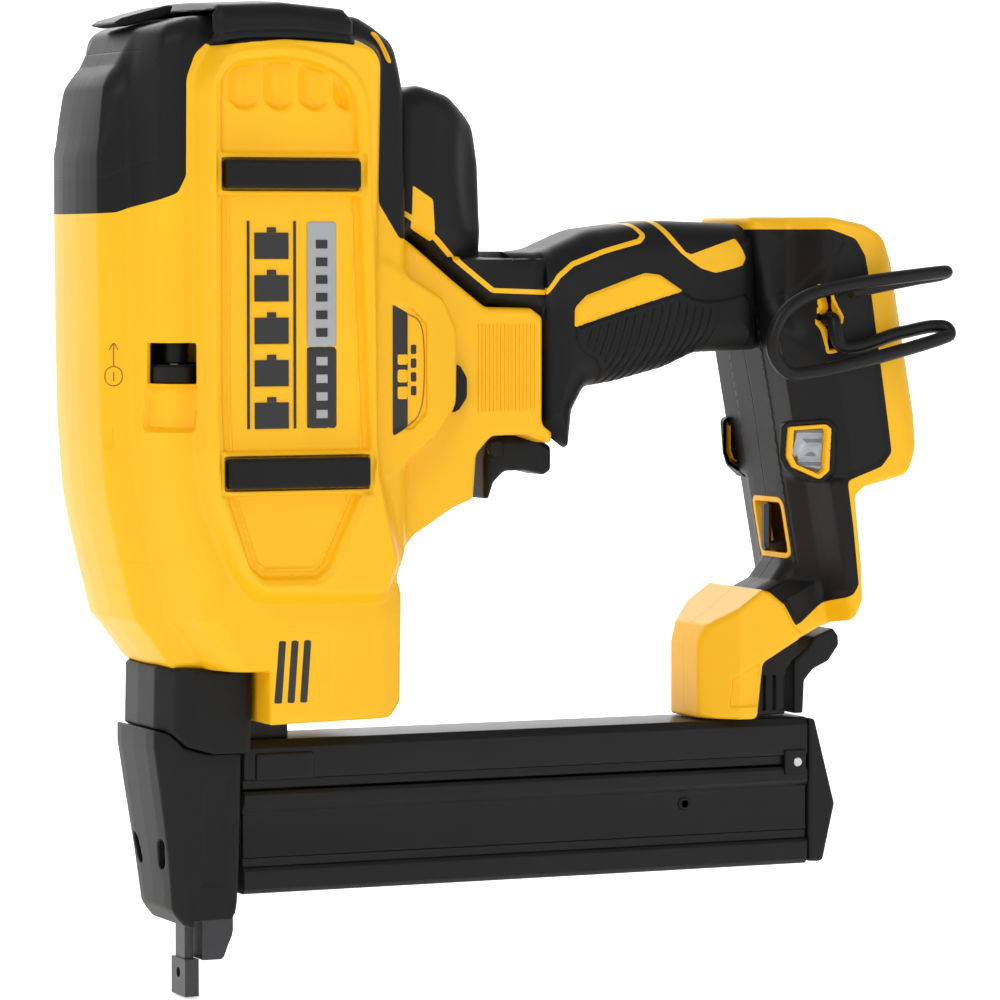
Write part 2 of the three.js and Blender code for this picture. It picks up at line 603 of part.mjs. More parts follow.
piece('magazine_latch', slab([
  [201.8, 79.8], [206, 79.8], [206.6, 91, 3], [210, 94.6, 3], [216, 97, 3], [219.4, 102.2, 2],
  [217.6, 106.6],
  [210, 102.8], [208.2, 99], [201.8, 95.4],
], -12.5, 12.5), BLACK);

// ---------------------------------------------------------------- trigger group
piece('trigger', cut(
  slab([
    [97.2, 164], [98.4, 169.4], [104, 170.4], [117, 170.4, 1], [121.8, 167, 2], [121.8, 159.6, 2],
    [119.5, 158.2, 2],
    [110, 160.6, 4], [104, 160, 4], [100, 156, 3], [98.6, 151.2], [97, 151.2],
  ], -8, 8),
  rod('y', TRIGGER_PIVOT, 2.1, -10, 10),
), BLACK);
piece('trigger_pin', rod('y', TRIGGER_PIVOT, 1.8, -8.8, 8.8), STEEL);
piece('trigger_switch', block(112.5, 124, -6, 6, 193.5, 205), BLACK);
piece('trigger_lock', slab(
  [[79.3, 178.4], [82, 178.8], [85.6, 182, 2], [85.6, 190, 2], [82.5, 193.6], [79.3, 193.9]], -23.4, 23.4,
), BLACK);

// ---------------------------------------------------------------- belt hook, hex key, battery interface
const hookPath = new THREE.CurvePath();
const hookPoints = [
  [203, 207, -34.2], [203, 207, -38.6], [204, 197.2, -41], [226, 202.4, -41], [238, 205.4, -41],
  [241.4, 204, -42.5],
  [241.8, 201.6, -44], [239, 200.4, -45], [193, 190.6, -45], [184, 190.6, -45], [178.8, 197, -45],
  [180.5, 206.5, -45], [189.6, 214, -45], [236, 221.6, -45], [239, 220.8, -44], [238, 218.6, -42],
  [232, 217, -41],
  [208, 212.6, -41],
].map(([x, z, y]) => new THREE.Vector3(x, y, z));
hookPath.add(new THREE.CatmullRomCurve3(hookPoints, false, 'centripetal'));
const wireSection = new THREE.Shape(Array.from({ length: 8 }, (_, i) => {
  const turn = (i / 8) * 2 * Math.PI;
  return new THREE.Vector2(2.1 * Math.cos(turn), 2.1 * Math.sin(turn));
}));
piece('belt_hook', solid(new THREE.ExtrudeGeometry(wireSection, {
  steps: 72, extrudePath: hookPath.curves[0],
})), DARK_STEEL);

piece('hex_key', joined(
  rod('z', [199.5, 0], 1.6, 133, 147, 6),
  rod('x', [0, 133.5], 1.6, 198.5, 206, 6),
), DARK_STEEL);

piece('battery_dock', cut(
  slab([[222.6, 169], [232, 169], [223.5, 225], [214, 225]], -25.5, 25.5),
  block(200, 260, -17, 17, 174, 219),
), BLACK);
piece('terminal_block', joined(
  block(213, 217, -16, 16, 182, 214),
  ...[-10, -4, 4, 10].map((y) => block(216, 225, y - 0.6, y + 0.6, 186, 206)),
), COPPER);
piece('controller', block(206.2, 209.6, -9, 9, 172, 218), BOARD);

// ---------------------------------------------------------------- drive inside the body
const [ROD_X, ROD_Y] = ROD_AXIS;
const FRAME_HALF = 26;
const FRAME_LOW = 108;
const FRAME_HIGH = 284;
piece('drive_frame', cut(
  block(-2.6, 46, -FRAME_HALF, FRAME_HALF, FRAME_LOW, FRAME_HIGH).add(
    block(-9, 0, -FRAME_HALF, FRAME_HALF, 216, FRAME_HIGH),
  ),
  block(-20, 60, 3 - FRAME_HALF, FRAME_HALF - 3, FRAME_LOW + 5, FRAME_HIGH - 5),
  block(1.8, 7.6, -5, 5, 100, 120),
  rod('y', MOTOR_AXIS, 5.4, -40, 40, 20),
  rod('y', ARM_PIVOT, 2.4, -40, 40, 12),
), ALLOY);
SIDES.forEach(([side, name]) => {
  piece(`return_rod_${name}`, rod('z', [ROD_X, side * ROD_Y], 2.4, FRAME_LOW + 5.3, FRAME_HIGH - 5.3,
    12), STEEL);
  piece(`return_spring_${name}`, ring(ROD_X, side * ROD_Y, 3, 4.8, FRAME_LOW + 5.6, 225.6), STEEL);
});
piece('driver', cut(
  joined(
    block(0.5, 7.5, -21, 21, 226, 236),
    block(2, 6.4, -8.5, 8.5, 188, 227),
    block(BLADE[0], BLADE[1], -3, 3, 80, 189),
  ),
  block(0, 2, -10, 10, 220, 240),
  block(6.4, 8, -10, 10, 220, 240),
  rod('z', [ROD_X, -ROD_Y], 2.7, 200, 250, 12),
  rod('z', [ROD_X, ROD_Y], 2.7, 200, 250, 12),
), STEEL);
piece('motor_shaft', rod('y', MOTOR_AXIS, 5, -28, 28, 20), STEEL);
piece('flywheel', cut(
  joined(rod('y', MOTOR_AXIS, FLYWHEEL_R, -7, 7, 40), rod('y', MOTOR_AXIS, 23, 6, 22, 32),
    rod('y', MOTOR_AXIS, 9, -12, 0, 20)),
  rod('y', MOTOR_AXIS, 20, 7.6, 30, 32),
  rod('y', MOTOR_AXIS, 5.4, -40, 40, 20),
), STEEL);
piece('stator', cut(rod('y', MOTOR_AXIS, 19, 8.6, 21.5, 24), rod('y', MOTOR_AXIS, 5.4, 0, 30, 20)),
  COPPER);
const armPlate = (side) => slab(
  [[-8.6, 199], [-1.6, 199], [-1.6, 246], [-4, 248], [-8.6, 246]], side * 11, side * 14,
);
piece('activation_arm', joined(
  armPlate(-1), armPlate(1),
  rod('y', ARM_PIVOT, 2, -25.6, 25.6, 12),
  rod('y', ROLLER_AXIS, 1.8, -12, 12, 12),
), ALLOY);
piece('pinch_roller', cut(rod('y', ROLLER_AXIS, 5, -9, 9, 24), rod('y', ROLLER_AXIS, 2.1, -10, 10,
  12)), STEEL);
piece('solenoid', joined(block(-31.5, -20, -12, 12, 222, 246), rod('x', [0, 234], 3, -21, -11, 12)),
  COPPER);

export default model;
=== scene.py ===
import functools
import math

import bpy
import numpy as np
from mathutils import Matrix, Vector


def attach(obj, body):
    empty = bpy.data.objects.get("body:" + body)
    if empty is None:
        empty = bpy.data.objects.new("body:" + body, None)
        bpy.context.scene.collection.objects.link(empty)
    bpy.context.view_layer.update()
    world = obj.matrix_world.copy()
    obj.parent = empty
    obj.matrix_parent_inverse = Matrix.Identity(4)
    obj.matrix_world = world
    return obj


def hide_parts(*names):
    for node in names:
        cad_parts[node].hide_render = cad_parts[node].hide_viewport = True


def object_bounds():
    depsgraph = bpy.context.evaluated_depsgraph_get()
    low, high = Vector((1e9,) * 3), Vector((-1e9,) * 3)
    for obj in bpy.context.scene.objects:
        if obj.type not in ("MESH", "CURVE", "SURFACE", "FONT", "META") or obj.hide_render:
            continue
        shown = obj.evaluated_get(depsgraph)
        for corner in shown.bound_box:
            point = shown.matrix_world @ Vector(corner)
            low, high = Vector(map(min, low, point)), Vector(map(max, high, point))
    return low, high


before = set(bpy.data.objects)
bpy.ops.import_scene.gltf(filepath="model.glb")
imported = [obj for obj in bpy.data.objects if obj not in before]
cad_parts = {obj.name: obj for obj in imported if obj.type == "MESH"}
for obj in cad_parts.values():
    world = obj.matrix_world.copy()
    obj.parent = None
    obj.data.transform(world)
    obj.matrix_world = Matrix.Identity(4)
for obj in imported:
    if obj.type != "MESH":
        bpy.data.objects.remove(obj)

# Lengths are in millimetres until a mesh is made. X runs to the rear, Y to the right side, Z up.
MM = 0.001
CAD_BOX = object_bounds()
FINE = 1.0        # coarser grids while trying things
FAR = 1e9                                # more than any squared distance here
OUTSIDE = 9                              # a field's value well outside a shape
SIDES = ((-1, "left"), (1, "right"))     # the sign of Y on each side
PAST_MIDDLE = 0.35                       # a left half's grid ends this far past the centre plane
MIDDLE_GAP = 0.15                        # and its skin is cut this far before it
EDGE_DEPTH = 1.6                         # how far a panel's edge turns inwards
EDGE_EASE = 0.25                         # the rounding on that edge
SHARP = 38                               # degrees from which an edge looks sharp
SHARP_BAR = 30                           # the same for turned and extruded pieces


# ---------- outlines and fields
def rounded(points, steps=5):
    """Corner points (a, b, radius) as an outline with curves at the corners that have a radius."""
    outline = []
    count = len(points)
    for i, point in enumerate(points):
        here = np.array(point[:2], float)
        radius = point[2] if len(point) > 2 else 0
        if not radius:
            outline.append(here)
            continue
        before = np.array(points[i - 1][:2], float) - here
        after = np.array(points[(i + 1) % count][:2], float) - here
        long_before = np.linalg.norm(before)
        long_after = np.linalg.norm(after)
        half = math.acos(np.clip(before @ after / long_before / long_after, -1, 1)) / 2
        reach = min(radius / math.tan(half), long_before * 0.48, long_after * 0.48)
        start = here + before / long_before * reach
        end = here + after / long_after * reach
        for k in range(steps + 1):
            t = k / steps
            outline.append((1 - t) ** 2 * start + 2 * t * (1 - t) * here + t * t * end)
    return np.array(outline)


def flat(points, u, v):
    """Signed distance from a closed outline in a plane, negative inside."""
    shape = np.broadcast(u, v).shape
    best = np.full(shape, FAR, np.float32)
    sign = np.ones(shape, np.float32)
    for (ax, ay), (bx, by) in zip(points, np.roll(points, -1, axis=0)):
        ex, ey = bx - ax, by - ay
        length = ex * ex + ey * ey
        if length < 1e-9:
            continue
        wx, wy = u - ax, v - ay
        t = np.clip((wx * ex + wy * ey) / length, 0, 1)
        best = np.minimum(best, (wx - ex * t) ** 2 + (wy - ey * t) ** 2)
        crosses = (ay <= v) != (by <= v)
        ahead = (ex * wy - ey * wx > 0) == (by > ay)
        sign = np.where(crosses & ahead, -sign, sign)
    return sign * np.sqrt(best)


def both(a, b, r=0.0):
    """What is inside both fields, with a convex edge of radius r."""
    return np.minimum(-r, np.maximum(a, b)) + np.hypot(np.maximum(r + a, 0), np.maximum(r + b, 0))


def either(a, b, r=0.0):
    """What is inside either field, with a concave fillet of radius r."""
    return np.maximum(r, np.minimum(a, b)) - np.hypot(np.maximum(r - a, 0), np.maximum(r - b, 0))


def within(*fields):
    """What is inside every field, with sharp edges."""
    return functools.reduce(np.maximum, fields)


def span(v, low, high):
    """Distance outside a range, negative inside it."""
    return np.abs(v - (low + high) / 2) - (high - low) / 2


def step(t):
    """0 below 0, 1 above 1 and smooth between."""
    t = np.clip(t, 0, 1)
    return t * t * (3 - 2 * t)


def bump(t):
    """A smooth hill of height 1 between -1 and 1."""
    return np.where(np.abs(t) < 1, np.cos(np.clip(t, -1, 1) * math.pi / 2) ** 2, 0)


# ---------- surfaces out of fields
def gradient(field, at):
    """The field at points and its slope there."""
    x, y, z = at.T
    e = 0.05
    here = field(x, y, z)
    ahead = [field(x + e, y, z), field(x, y + e, z), field(x, y, z + e)]
    slope = np.stack([value - here for value in ahead], 1) / e
    return here, slope


CORNERS = [(i, j, k) for k in (0, 1) for j in (0, 1) for i in (0, 1)]
EDGES = [(c, c[:axis] + (1,) + c[axis + 1:]) for axis in range(3) for c in CORNERS if not c[axis]]


def surface(field, low, high, size):
    """The field's zero surface inside a box, as points, triangles and outward normals."""
    size *= FINE
    axes = [np.arange(a, b + size, size, dtype=np.float32) for a, b in zip(low, high)]
    value = field(axes[0][:, None, None], axes[1][None, :, None], axes[2][None, None, :])
    value = np.broadcast_to(value, [len(a) for a in axes]).astype(np.float32)
    inside = value < 0
    cells = tuple(n - 1 for n in value.shape)

    def corner(grid, c):
        return grid[c[0]:c[0] + cells[0], c[1]:c[1] + cells[1], c[2]:c[2] + cells[2]]

    total = np.zeros(cells + (3,), np.float32)
    count = np.zeros(cells, np.float32)
    for a, b in EDGES:
        va, vb = corner(value, a), corner(value, b)
        cut = corner(inside, a) != corner(inside, b)
        share = np.where(cut, va / np.where(cut, va - vb, 1), 0)
        for k in range(3):
            total[..., k] += np.where(cut, a[k] + share * (b[k] - a[k]), 0)
        count += cut
    used = count > 0
    index = np.full(cells, -1, np.int64)
    index[used] = np.arange(used.sum())
    where = np.argwhere(used)
    points = (where + total[used] / count[used][:, None]) * size + np.array([a[0] for a in axes])
    quads = []
    for axis in range(3):
        p, q = (axis + 1) % 3, (axis + 2) % 3
        ahead = [slice(None)] * 3
        ahead[axis] = slice(1, None)
        behind = [slice(None)] * 3
        behind[axis] = slice(None, -1)
        first, second = inside[tuple(behind)], inside[tuple(ahead)]
        found = np.argwhere(first != second)
        found = found[(found[:, p] > 0) & (found[:, q] > 0) & (found[:, p] < value.shape[p] - 1)
                      & (found[:, q] < value.shape[q] - 1)]
        ring = []
        for dp, dq in ((0, 0), (-1, 0), (-1, -1), (0, -1)):
            cell = found.copy()
            cell[:, p] += dp
            cell[:, q] += dq
            ring.append(index[tuple(cell.T)])
        ring = np.stack(ring, 1)
        outward = first[tuple(found.T)]
        quads.append(np.where(outward[:, None], ring, ring[:, ::-1]))
    quads = np.concatenate(quads)
    quads = quads[(quads >= 0).all(1)]
    for _ in range(3):
        here, slope = gradient(field, points)
        move = here[:, None] * slope / np.maximum((slope ** 2).sum(1, keepdims=True), 0.05)
        length = np.linalg.norm(move, axis=1, keepdims=True)
        points = points - move * np.minimum(1, size * 0.6 / np.maximum(length, 1e-6))
    _, slope = gradient(field, points)
    normals = slope / np.maximum(np.linalg.norm(slope, axis=1, keepdims=True), 1e-6)
    # Split each quad along its shorter diagonal.
    one = np.linalg.norm(points[quads[:, 0]] - points[quads[:, 2]], axis=1)
    two = np.linalg.norm(points[quads[:, 1]] - points[quads[:, 3]], axis=1)
    q = np.where((one <= two)[:, None], quads, np.roll(quads, -1, axis=1))
    triangles = np.concatenate([q[:, [0, 1, 2]], q[:, [0, 2, 3]]])
    return points, triangles, normals


def clip(skin, value):
    """The part of a surface where a value given at each point is below 0."""
    points, triangles, normals = skin
    value = np.where(np.abs(value) < 0.02, -0.02, value)
    inside = value < 0
    held = inside[triangles].sum(1)
    kept = [triangles[held == 3]]
    new_points, new_normals = [], []
    size = len(points)
    made = {}
    for count in (1, 2):
        some = triangles[held == count]
        if not len(some):
            continue
        lone = inside[some] if count == 1 else ~inside[some]
        turn = lone.argmax(1)
        rows = np.arange(len(some))
        a, b, c = (some[rows, (turn + k) % 3] for k in range(3))
        ends = []
        for other in (b, c):
            low, high = np.minimum(a, other), np.maximum(a, other)
            share = (value[low] / (value[low] - value[high]))[:, None]
            new_points.append(points[low] + share * (points[high] - points[low]))
            new_normals.append(normals[low] + share * (normals[high] - normals[low]))
            ends.append(low * size + high)
        made[count] = (a, b, c, ends)
    if not made:
        return points, triangles[held == 3], normals
    keys = np.concatenate([k for count in made for k in made[count][3]])
    _, first, back = np.unique(keys, return_index=True, return_inverse=True)
    added = np.concatenate(new_points)[first]
    added_normals = np.concatenate(new_normals)[first]
    place = 0
    for count, (a, b, c, _) in made.items():
        ab = size + back[place:place + len(a)]
        ac = size + back[place + len(a):place + 2 * len(a)]
        place += 2 * len(a)
        if count == 1:
            kept.append(np.stack([a, ab, ac], 1))
        else:
            kept.append(np.stack([ab, b, c], 1))
            kept.append(np.stack([ab, c, ac], 1))
    triangles = np.concatenate(kept)
    points = np.concatenate([points, added])
    normals = np.concatenate([normals, added_normals])
    used, triangles = np.unique(triangles, return_inverse=True)
    return points[used], triangles.reshape(-1, 3), normals[used]


def rim(skin, depth=EDGE_DEPTH, ease=EDGE_EASE):
    """A surface with its open edges rounded and turned inwards."""
    points, triangles, normals = skin
    ends = np.concatenate([triangles[:, [0, 1]], triangles[:, [1, 2]], triangles[:, [2, 0]]])
    low, high = ends.min(1), ends.max(1)
    _, first, count = np.unique(low * len(points) + high, return_index=True, return_counts=True)
    open_ends = ends[first[count == 1]]
    if not len(open_ends):
        return skin
    normals = normals / np.maximum(np.linalg.norm(normals, axis=1, keepdims=True), 1e-6)
    along = points[open_ends[:, 1]] - points[open_ends[:, 0]]
    aside = np.zeros_like(points)
    for k in range(2):
        np.add.at(aside, open_ends[:, k], np.cross(along, normals[open_ends[:, k]]))
    aside /= np.maximum(np.linalg.norm(aside, axis=1, keepdims=True), 1e-6)
    edge = np.unique(open_ends)
    number = np.zeros(len(points), np.int64)
    number[edge] = np.arange(len(edge))
    size = len(points)
    rings = [points[edge] + ease * 0.7 * aside[edge] - ease * 0.3 * normals[edge],
             points[edge] + ease * aside[edge] - ease * normals[edge],
             points[edge] + ease * aside[edge] - depth * normals[edge]]
    extra = []
    before = open_ends
    for k in range(3):
        after = size + k * len(edge) + number[open_ends]
        extra.append(np.stack([before[:, 1], before[:, 0], after[:, 0]], 1))
        extra.append(np.stack([before[:, 1], after[:, 0], after[:, 1]], 1))
        before = after
    points = np.concatenate([points] + rings)
    normals = np.concatenate([normals] + [normals[edge]] * 3)
    return points, np.concatenate([triangles] + extra), normals


def mirrored(skin):
    """The same surface on the other side of the centre plane."""
    points, triangles, normals = skin
    flip = np.array([1, -1, 1])
    return points * flip, triangles[:, ::-1], normals * flip


# ---------- materials
def new_material(name):
    material = bpy.data.materials.new(name)
    material.use_nodes = True
    return material, material.node_tree.nodes, material.node_tree.links


def node(nodes, kind, **values):
    made = nodes.new("ShaderNode" + kind)
    for key, value in values.items():
        if key in made.inputs:
            made.inputs[key].default_value = value
        else:
            setattr(made, key, value)
    return made


def moulded(name, colour, rough, grain_mm, grain_depth, spread=0.05, rough_spread=0.08, metallic=0.0,
            shine=0.5):
    """A surface with a fine moulded or cast grain, slightly uneven in colour and in gloss."""
    material, nodes, links = new_material(name)
    shader = nodes["Principled BSDF"]
    where = node(nodes, "TexCoord")
    cloud = node(nodes, "TexNoise", Scale=28.0, Detail=3.0)
    grain = node(nodes, "TexNoise", Scale=1000.0 / grain_mm, Detail=2.0)
    links.new(where.outputs["Object"], cloud.inputs["Vector"])
    links.new(where.outputs["Object"], grain.inputs["Vector"])
    ramp = node(nodes, "ValToRGB")
    dark = [c * (1 - spread) for c in colour]
    light = [min(1, c * (1 + spread)) for c in colour]
    ramp.color_ramp.elements[0].position = 0.3
    ramp.color_ramp.elements[0].color = (*dark, 1)
    ramp.color_ramp.elements[1].position = 0.7
    ramp.color_ramp.elements[1].color = (*light, 1)
    links.new(cloud.outputs["Fac"], ramp.inputs["Fac"])
    links.new(ramp.outputs["Color"], shader.inputs["Base Color"])
    gloss = node(nodes, "MapRange")
    gloss.inputs["To Min"].default_value = rough - rough_spread
    gloss.inputs["To Max"].default_value = rough + rough_spread
    links.new(grain.outputs["Fac"], gloss.inputs["Value"])
    links.new(gloss.outputs["Result"], shader.inputs["Roughness"])
    relief = node(nodes, "Bump", Strength=1.0, Distance=grain_depth * MM)
    links.new(grain.outputs["Fac"], relief.inputs["Height"])
    links.new(relief.outputs["Normal"], shader.inputs["Normal"])
    shader.inputs["Metallic"].default_value = metallic
    shader.inputs["Specular IOR Level"].default_value = shine
    return material


YELLOW = moulded("yellow_plastic", (0.95, 0.50, 0.004), 0.40, 0.35, 0.012, spread=0.03, shine=0.32)
BLACK = moulded("black_plastic", (0.0065, 0.0065, 0.0068), 0.46, 0.4, 0.03, spread=0.15, shine=0.22)
RUBBER = moulded("black_rubber", (0.0055, 0.0057, 0.0062), 0.48, 0.5, 0.035, spread=0.15, shine=0.22)
METAL_BLACK = moulded("black_coated_metal", (0.006, 0.006, 0.0063), 0.38, 0.3, 0.008, spread=0.15,
                      shine=0.24)
STEEL = moulded("steel", (0.55, 0.56, 0.57), 0.32, 0.25, 0.004, metallic=1.0)
DARK_STEEL = moulded("dark_steel", (0.06, 0.06, 0.065), 0.38, 0.3, 0.006, metallic=0.8)
ALLOY = moulded("cast_alloy", (0.6, 0.61, 0.62), 0.5, 0.6, 0.03, metallic=1.0)
COPPER = moulded("copper", (0.7, 0.36, 0.2), 0.4, 0.3, 0.02, metallic=1.0)
BOARD = moulded("circuit_board", (0.03, 0.2, 0.09), 0.5, 0.8, 0.02)
LABEL_GREY = moulded("label_grey", (0.36, 0.37, 0.38), 0.35, 0.3, 0.002)
# Black for printed labels and marks, also used as painted shade in the nose screws' hex sockets.
PRINT_AND_SHADE_BLACK = moulded("label_black", (0.012, 0.012, 0.012), 0.35, 0.3, 0.002)
# Dark yellow painted shade: it stands for the shade in the engraved icon, along the boss floor's edge and
# inside the cap vent.
SHADE_YELLOW = moulded("dark_yellow_line", (0.30, 0.12, 0.004), 0.5, 0.3, 0.002)
LENS = moulded("lens", (0.20, 0.21, 0.225), 0.12, 3.0, 0.05, spread=0.7, metallic=0.7)


# ---------- pieces
def piece(name, points, faces, material, body="tool", stands_for=(), sharp=SHARP):
    """A mesh object that rides on a CAD body."""
    mesh = bpy.data.meshes.new(name)
    points = np.asarray(points, float) * MM
    if isinstance(faces, np.ndarray):
        mesh.vertices.add(len(points))
        mesh.vertices.foreach_set("co", points.astype(np.float32).ravel())
        mesh.loops.add(faces.size)
        mesh.loops.foreach_set("vertex_index", faces.astype(np.int32).ravel())
        mesh.polygons.add(len(faces))
        mesh.polygons.foreach_set("loop_start", np.arange(0, faces.size, faces.shape[1], dtype=np.int32))
        mesh.update(calc_edges=True)
    else:
        mesh.from_pydata([tuple(p) for p in points], [], faces)
    mesh.validate()
    mesh.materials.append(material)
    mesh.shade_smooth()
    mesh.set_sharp_from_angle(angle=math.radians(sharp))
    made = bpy.data.objects.new(name, mesh)
    bpy.context.scene.collection.objects.link(made)
    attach(made, body)
    if stands_for:
        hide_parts(*stands_for)
    return made


def pair(name, skin, material, stands_for=(), depth=EDGE_DEPTH, ease=EDGE_EASE):
    """A skin of the left side and its mirror image, with a hair's gap at the centre plane."""
    skin = rim(skin, depth, ease)
    for side, one in (("left", skin), ("right", mirrored(skin))):
        names = [n + "_" + side for n in stands_for]
        piece(f"{name}_{side}", one[0], one[1], material, stands_for=names)


# ---------- body
# How far the front line has leaned back at each height.
LEAN = [
    (95, 22), (103, 19.5), (113.6, 13.3), (117.5, 10.4), (125, 8.8), (135, 6.5), (145, 4.3), (156, 2.3),
    (177, 0.7), (205, 0.2), (240, 0)]
PLAN = rounded([
    (-37.4, -30), (-37.4, 0), (-37.3, 6), (-36.8, 11), (-36.1, 16), (-35.3, 20.4, 1.2), (-26.4, 22.6, 3),
    (-20, 34, 6), (-14, 36, 6), (50, 36, 8), (59, 32.5, 8), (63.5, 23, 8), (64, 0), (64, -30)])
SIDE = rounded([
    (-60, 103.5), (14, 101.5), (14, 85.4, 1), (54, 86.2, 3), (58.3, 91, 3), (59, 124, 2), (56.5, 129.5, 4),
    (64, 139, 3), (64, 276, 10), (57, 292, 12), (44, 299.5, 8), (20, 301, 20), (-10, 298.6),
    (-22.5, 295, 5), (-28.2, 284.4, 3), (-33.9, 277.9, 6), (-38.5, 262, 8), (-60, 250)])
PANEL = rounded([
    (-12.7, 280, 18), (-12.5, 168, 20), (-9.5, 150, 10), (1, 127, 10), (8, 121, 8), (51.5, 120, 8),
    (57.5, 134, 10), (51.5, 160, 10), (50, 171, 10), (50.3, 238), (51.5, 292, 16), (38, 296.5, 30),
    (-4, 296.5, 24)])
FLOOR = rounded([
    (-4.6, 280, 14), (-4.6, 184), (-3.4, 157, 8), (4.2, 133.8, 4), (8.5, 130.4, 3), (25.6, 130.2, 3),
    (29.6, 133, 4), (40.2, 155.6, 8), (43.2, 168, 10), (38.5, 280, 16), (20, 287, 40), (0, 285, 14)])
FLUTE_START = 9.2
FLUTE_PITCH = 11.25
FLUTE_BOTTOM, FLUTE_TOP = 272.8, 287
PANEL_FOOT = 34.5                        # half width where the panel starts
PANEL_RISE = 9.5
BEAD_TOP = 246                           # the inner bead stops at this height
BUMPER_FRAME, BUMPER_BED = 43.9, 41.4    # half widths around and under a bumper
BODY_HALF = 36
NECK_HALF = 20
CORNER_START = 15                        # the front corner's skin lies farther out than this
BUMPERS = {"upper": (-4.2, 39.5, 247, 256), "lower": (-3.4, 42.4, 157.3, 166.8)}
BOSS = rounded([
    (30, 150), (50, 157.5, 4), (71, 171.6, 10), (78.8, 181, 8), (79.2, 204, 8), (74, 214, 8),
    (53, 224.6, 4), (30, 228)])
BOSS_FLOOR = rounded([
    (53.2, 172.5), (62, 174.4, 3), (67.5, 179, 4), (67.5, 206, 4), (62, 211, 3), (53.2, 213.2)])
NECK = rounded([
    (30, 128), (58, 130), (67, 141, 5), (81.5, 149.2, 3), (87.9, 151.6, 1), (89.0, 165.6, 4),
    (94.2, 171.2, 4), (105.5, 171.4, 3), (112, 169.2, 0.8), (114.4, 168.4, 1), (114.8, 172, 2),
    (111.4, 175.4, 3), (111.4, 208, 2), (107.5, 210.8, 2), (92, 211.2, 4), (64.5, 232), (30, 246)])


def body_side(z):
    """How far the front line leans back at a height."""
    heights, shifts = zip(*LEAN)
    return np.interp(z, heights, shifts).astype(np.float32)


def panel_height(x, z):
    """Half width over the raised side panel, with its bead and its recessed floor."""
    rise = -flat(PANEL, x, z)
    floor = flat(FLOOR, x, z)
    height = PANEL_FOOT + PANEL_RISE * step((rise + 0.3) / 6.4)
    height = height + 0.9 * bump((floor - 2.4) / 2.2) - 2.2 * step((0.5 - floor) / 1.3)
    height = height + 0.7 * bump((floor + 2.6) / 0.9) * (z < BEAD_TOP)
    wave = np.abs(np.sin(math.pi * (x - FLUTE_START) / FLUTE_PITCH))
    hollow = wave ** 1.1 * step((z - FLUTE_BOTTOM + 2.6 * wave) / 1.8) * step((FLUTE_TOP - z) / 2.5)
    inner = step((-0.8 - floor) / 1.5)
    height = height - 2.6 * hollow * inner
    for x0, x1, z0, z1 in BUMPERS.values():
        frame_edge = np.maximum(span(x, x0, x1), span(z, z0, z1))
        height = height + (BUMPER_FRAME - height) * step((1.5 - np.abs(frame_edge - 0.9)) / 1.0)
        height = np.where(frame_edge < 0.25, BUMPER_BED, height)
    return height


def body(x, y, z):
    """The housing's whole outer shape."""
    a = np.abs(y)
    lean = body_side(z)
    u = x - lean * (1 + 0.15 * step((x + 36) / 24)) * step((40 - x) / 45)
    top = step((z - 232) / 30)
    shell = both(flat(PLAN, u, a), flat(SIDE, x, z), 2.5 + 4.5 * top)
    notch = within(np.abs(z - 172.8) - 3.2, 20.4 - a, x + 31)
    shell = both(shell, -notch, 0.4)
    boss_width = BODY_HALF - np.clip((x - 50) * 0.3, 0, 9)
    boss = both(flat(BOSS, x, z), a - boss_width, 1.5)
    boss_floor = both(flat(BOSS_FLOOR, x, z), boss_width - 1.2 - a, 0.3)
    boss = both(boss, -boss_floor, 0.3)
    neck = both(flat(NECK, x, z), a - NECK_HALF - 2.5 * step((84 - x) / 20), 2.2)
    shell = either(either(shell, boss, 2.5), neck, 3)
    panel = both(flat(PANEL, x, z), (a - panel_height(x, z)) * 0.6, 0.3)
    return either(shell, panel, 1.2)


YELLOW_FIELD = rounded([
    (-60, 60), (80, 60), (80, 130), (118, 140), (118, 170, 1), (111.2, 174, 2), (111.6, 208, 2),
    (108, 211.2, 2), (92, 211.7, 3), (65, 231.6, 3), (57, 232.5, 2), (49, 243, 4), (48.2, 250),
    (48.6, 276, 10), (47.2, 284.4, 6), (44, 289.6, 5), (39.2, 292.3, 1), (38, 290.4), (16, 291.8, 20),
    (-5.6, 289.6), (-6.4, 290.6, 0.5), (-10, 287.4, 6), (-12.8, 280, 8), (-13, 251), (-15.5, 245.8, 3),
    (-29.8, 240.1, 8), (-60, 238.4)])
CORNER_FIELD = rounded([
    (-60, 247.6), (-33, 250.8, 6), (-20.5, 256, 1.5), (-19.6, 284.5, 3), (-22.5, 288.4, 2), (-60, 288)])
LOWER_FIELD = rounded([
    (-60, 60), (32.3, 60), (32.4, 113, 1.5), (10, 114.9, 4), (-3.6, 122.8, 4), (-10, 133, 3),
    (-13, 134.9, 2), (-60, 136.4)])
WINDOW = rounded([(-10.6, 188.7, 0.8), (6.3, 188.6, 0.8), (6.3, 201.4, 0.8), (-10.4, 201.4, 0.8)])
SCOOP = rounded([(-11.6, 175, 1.5), (5.4, 174.8, 1.5), (6.0, 188.4), (-10.8, 188.4)])


def along_corner(points):
    """A distance measured around the rounded front corner."""
    return points[:, 0] + 0.445 * np.abs(points[:, 1])


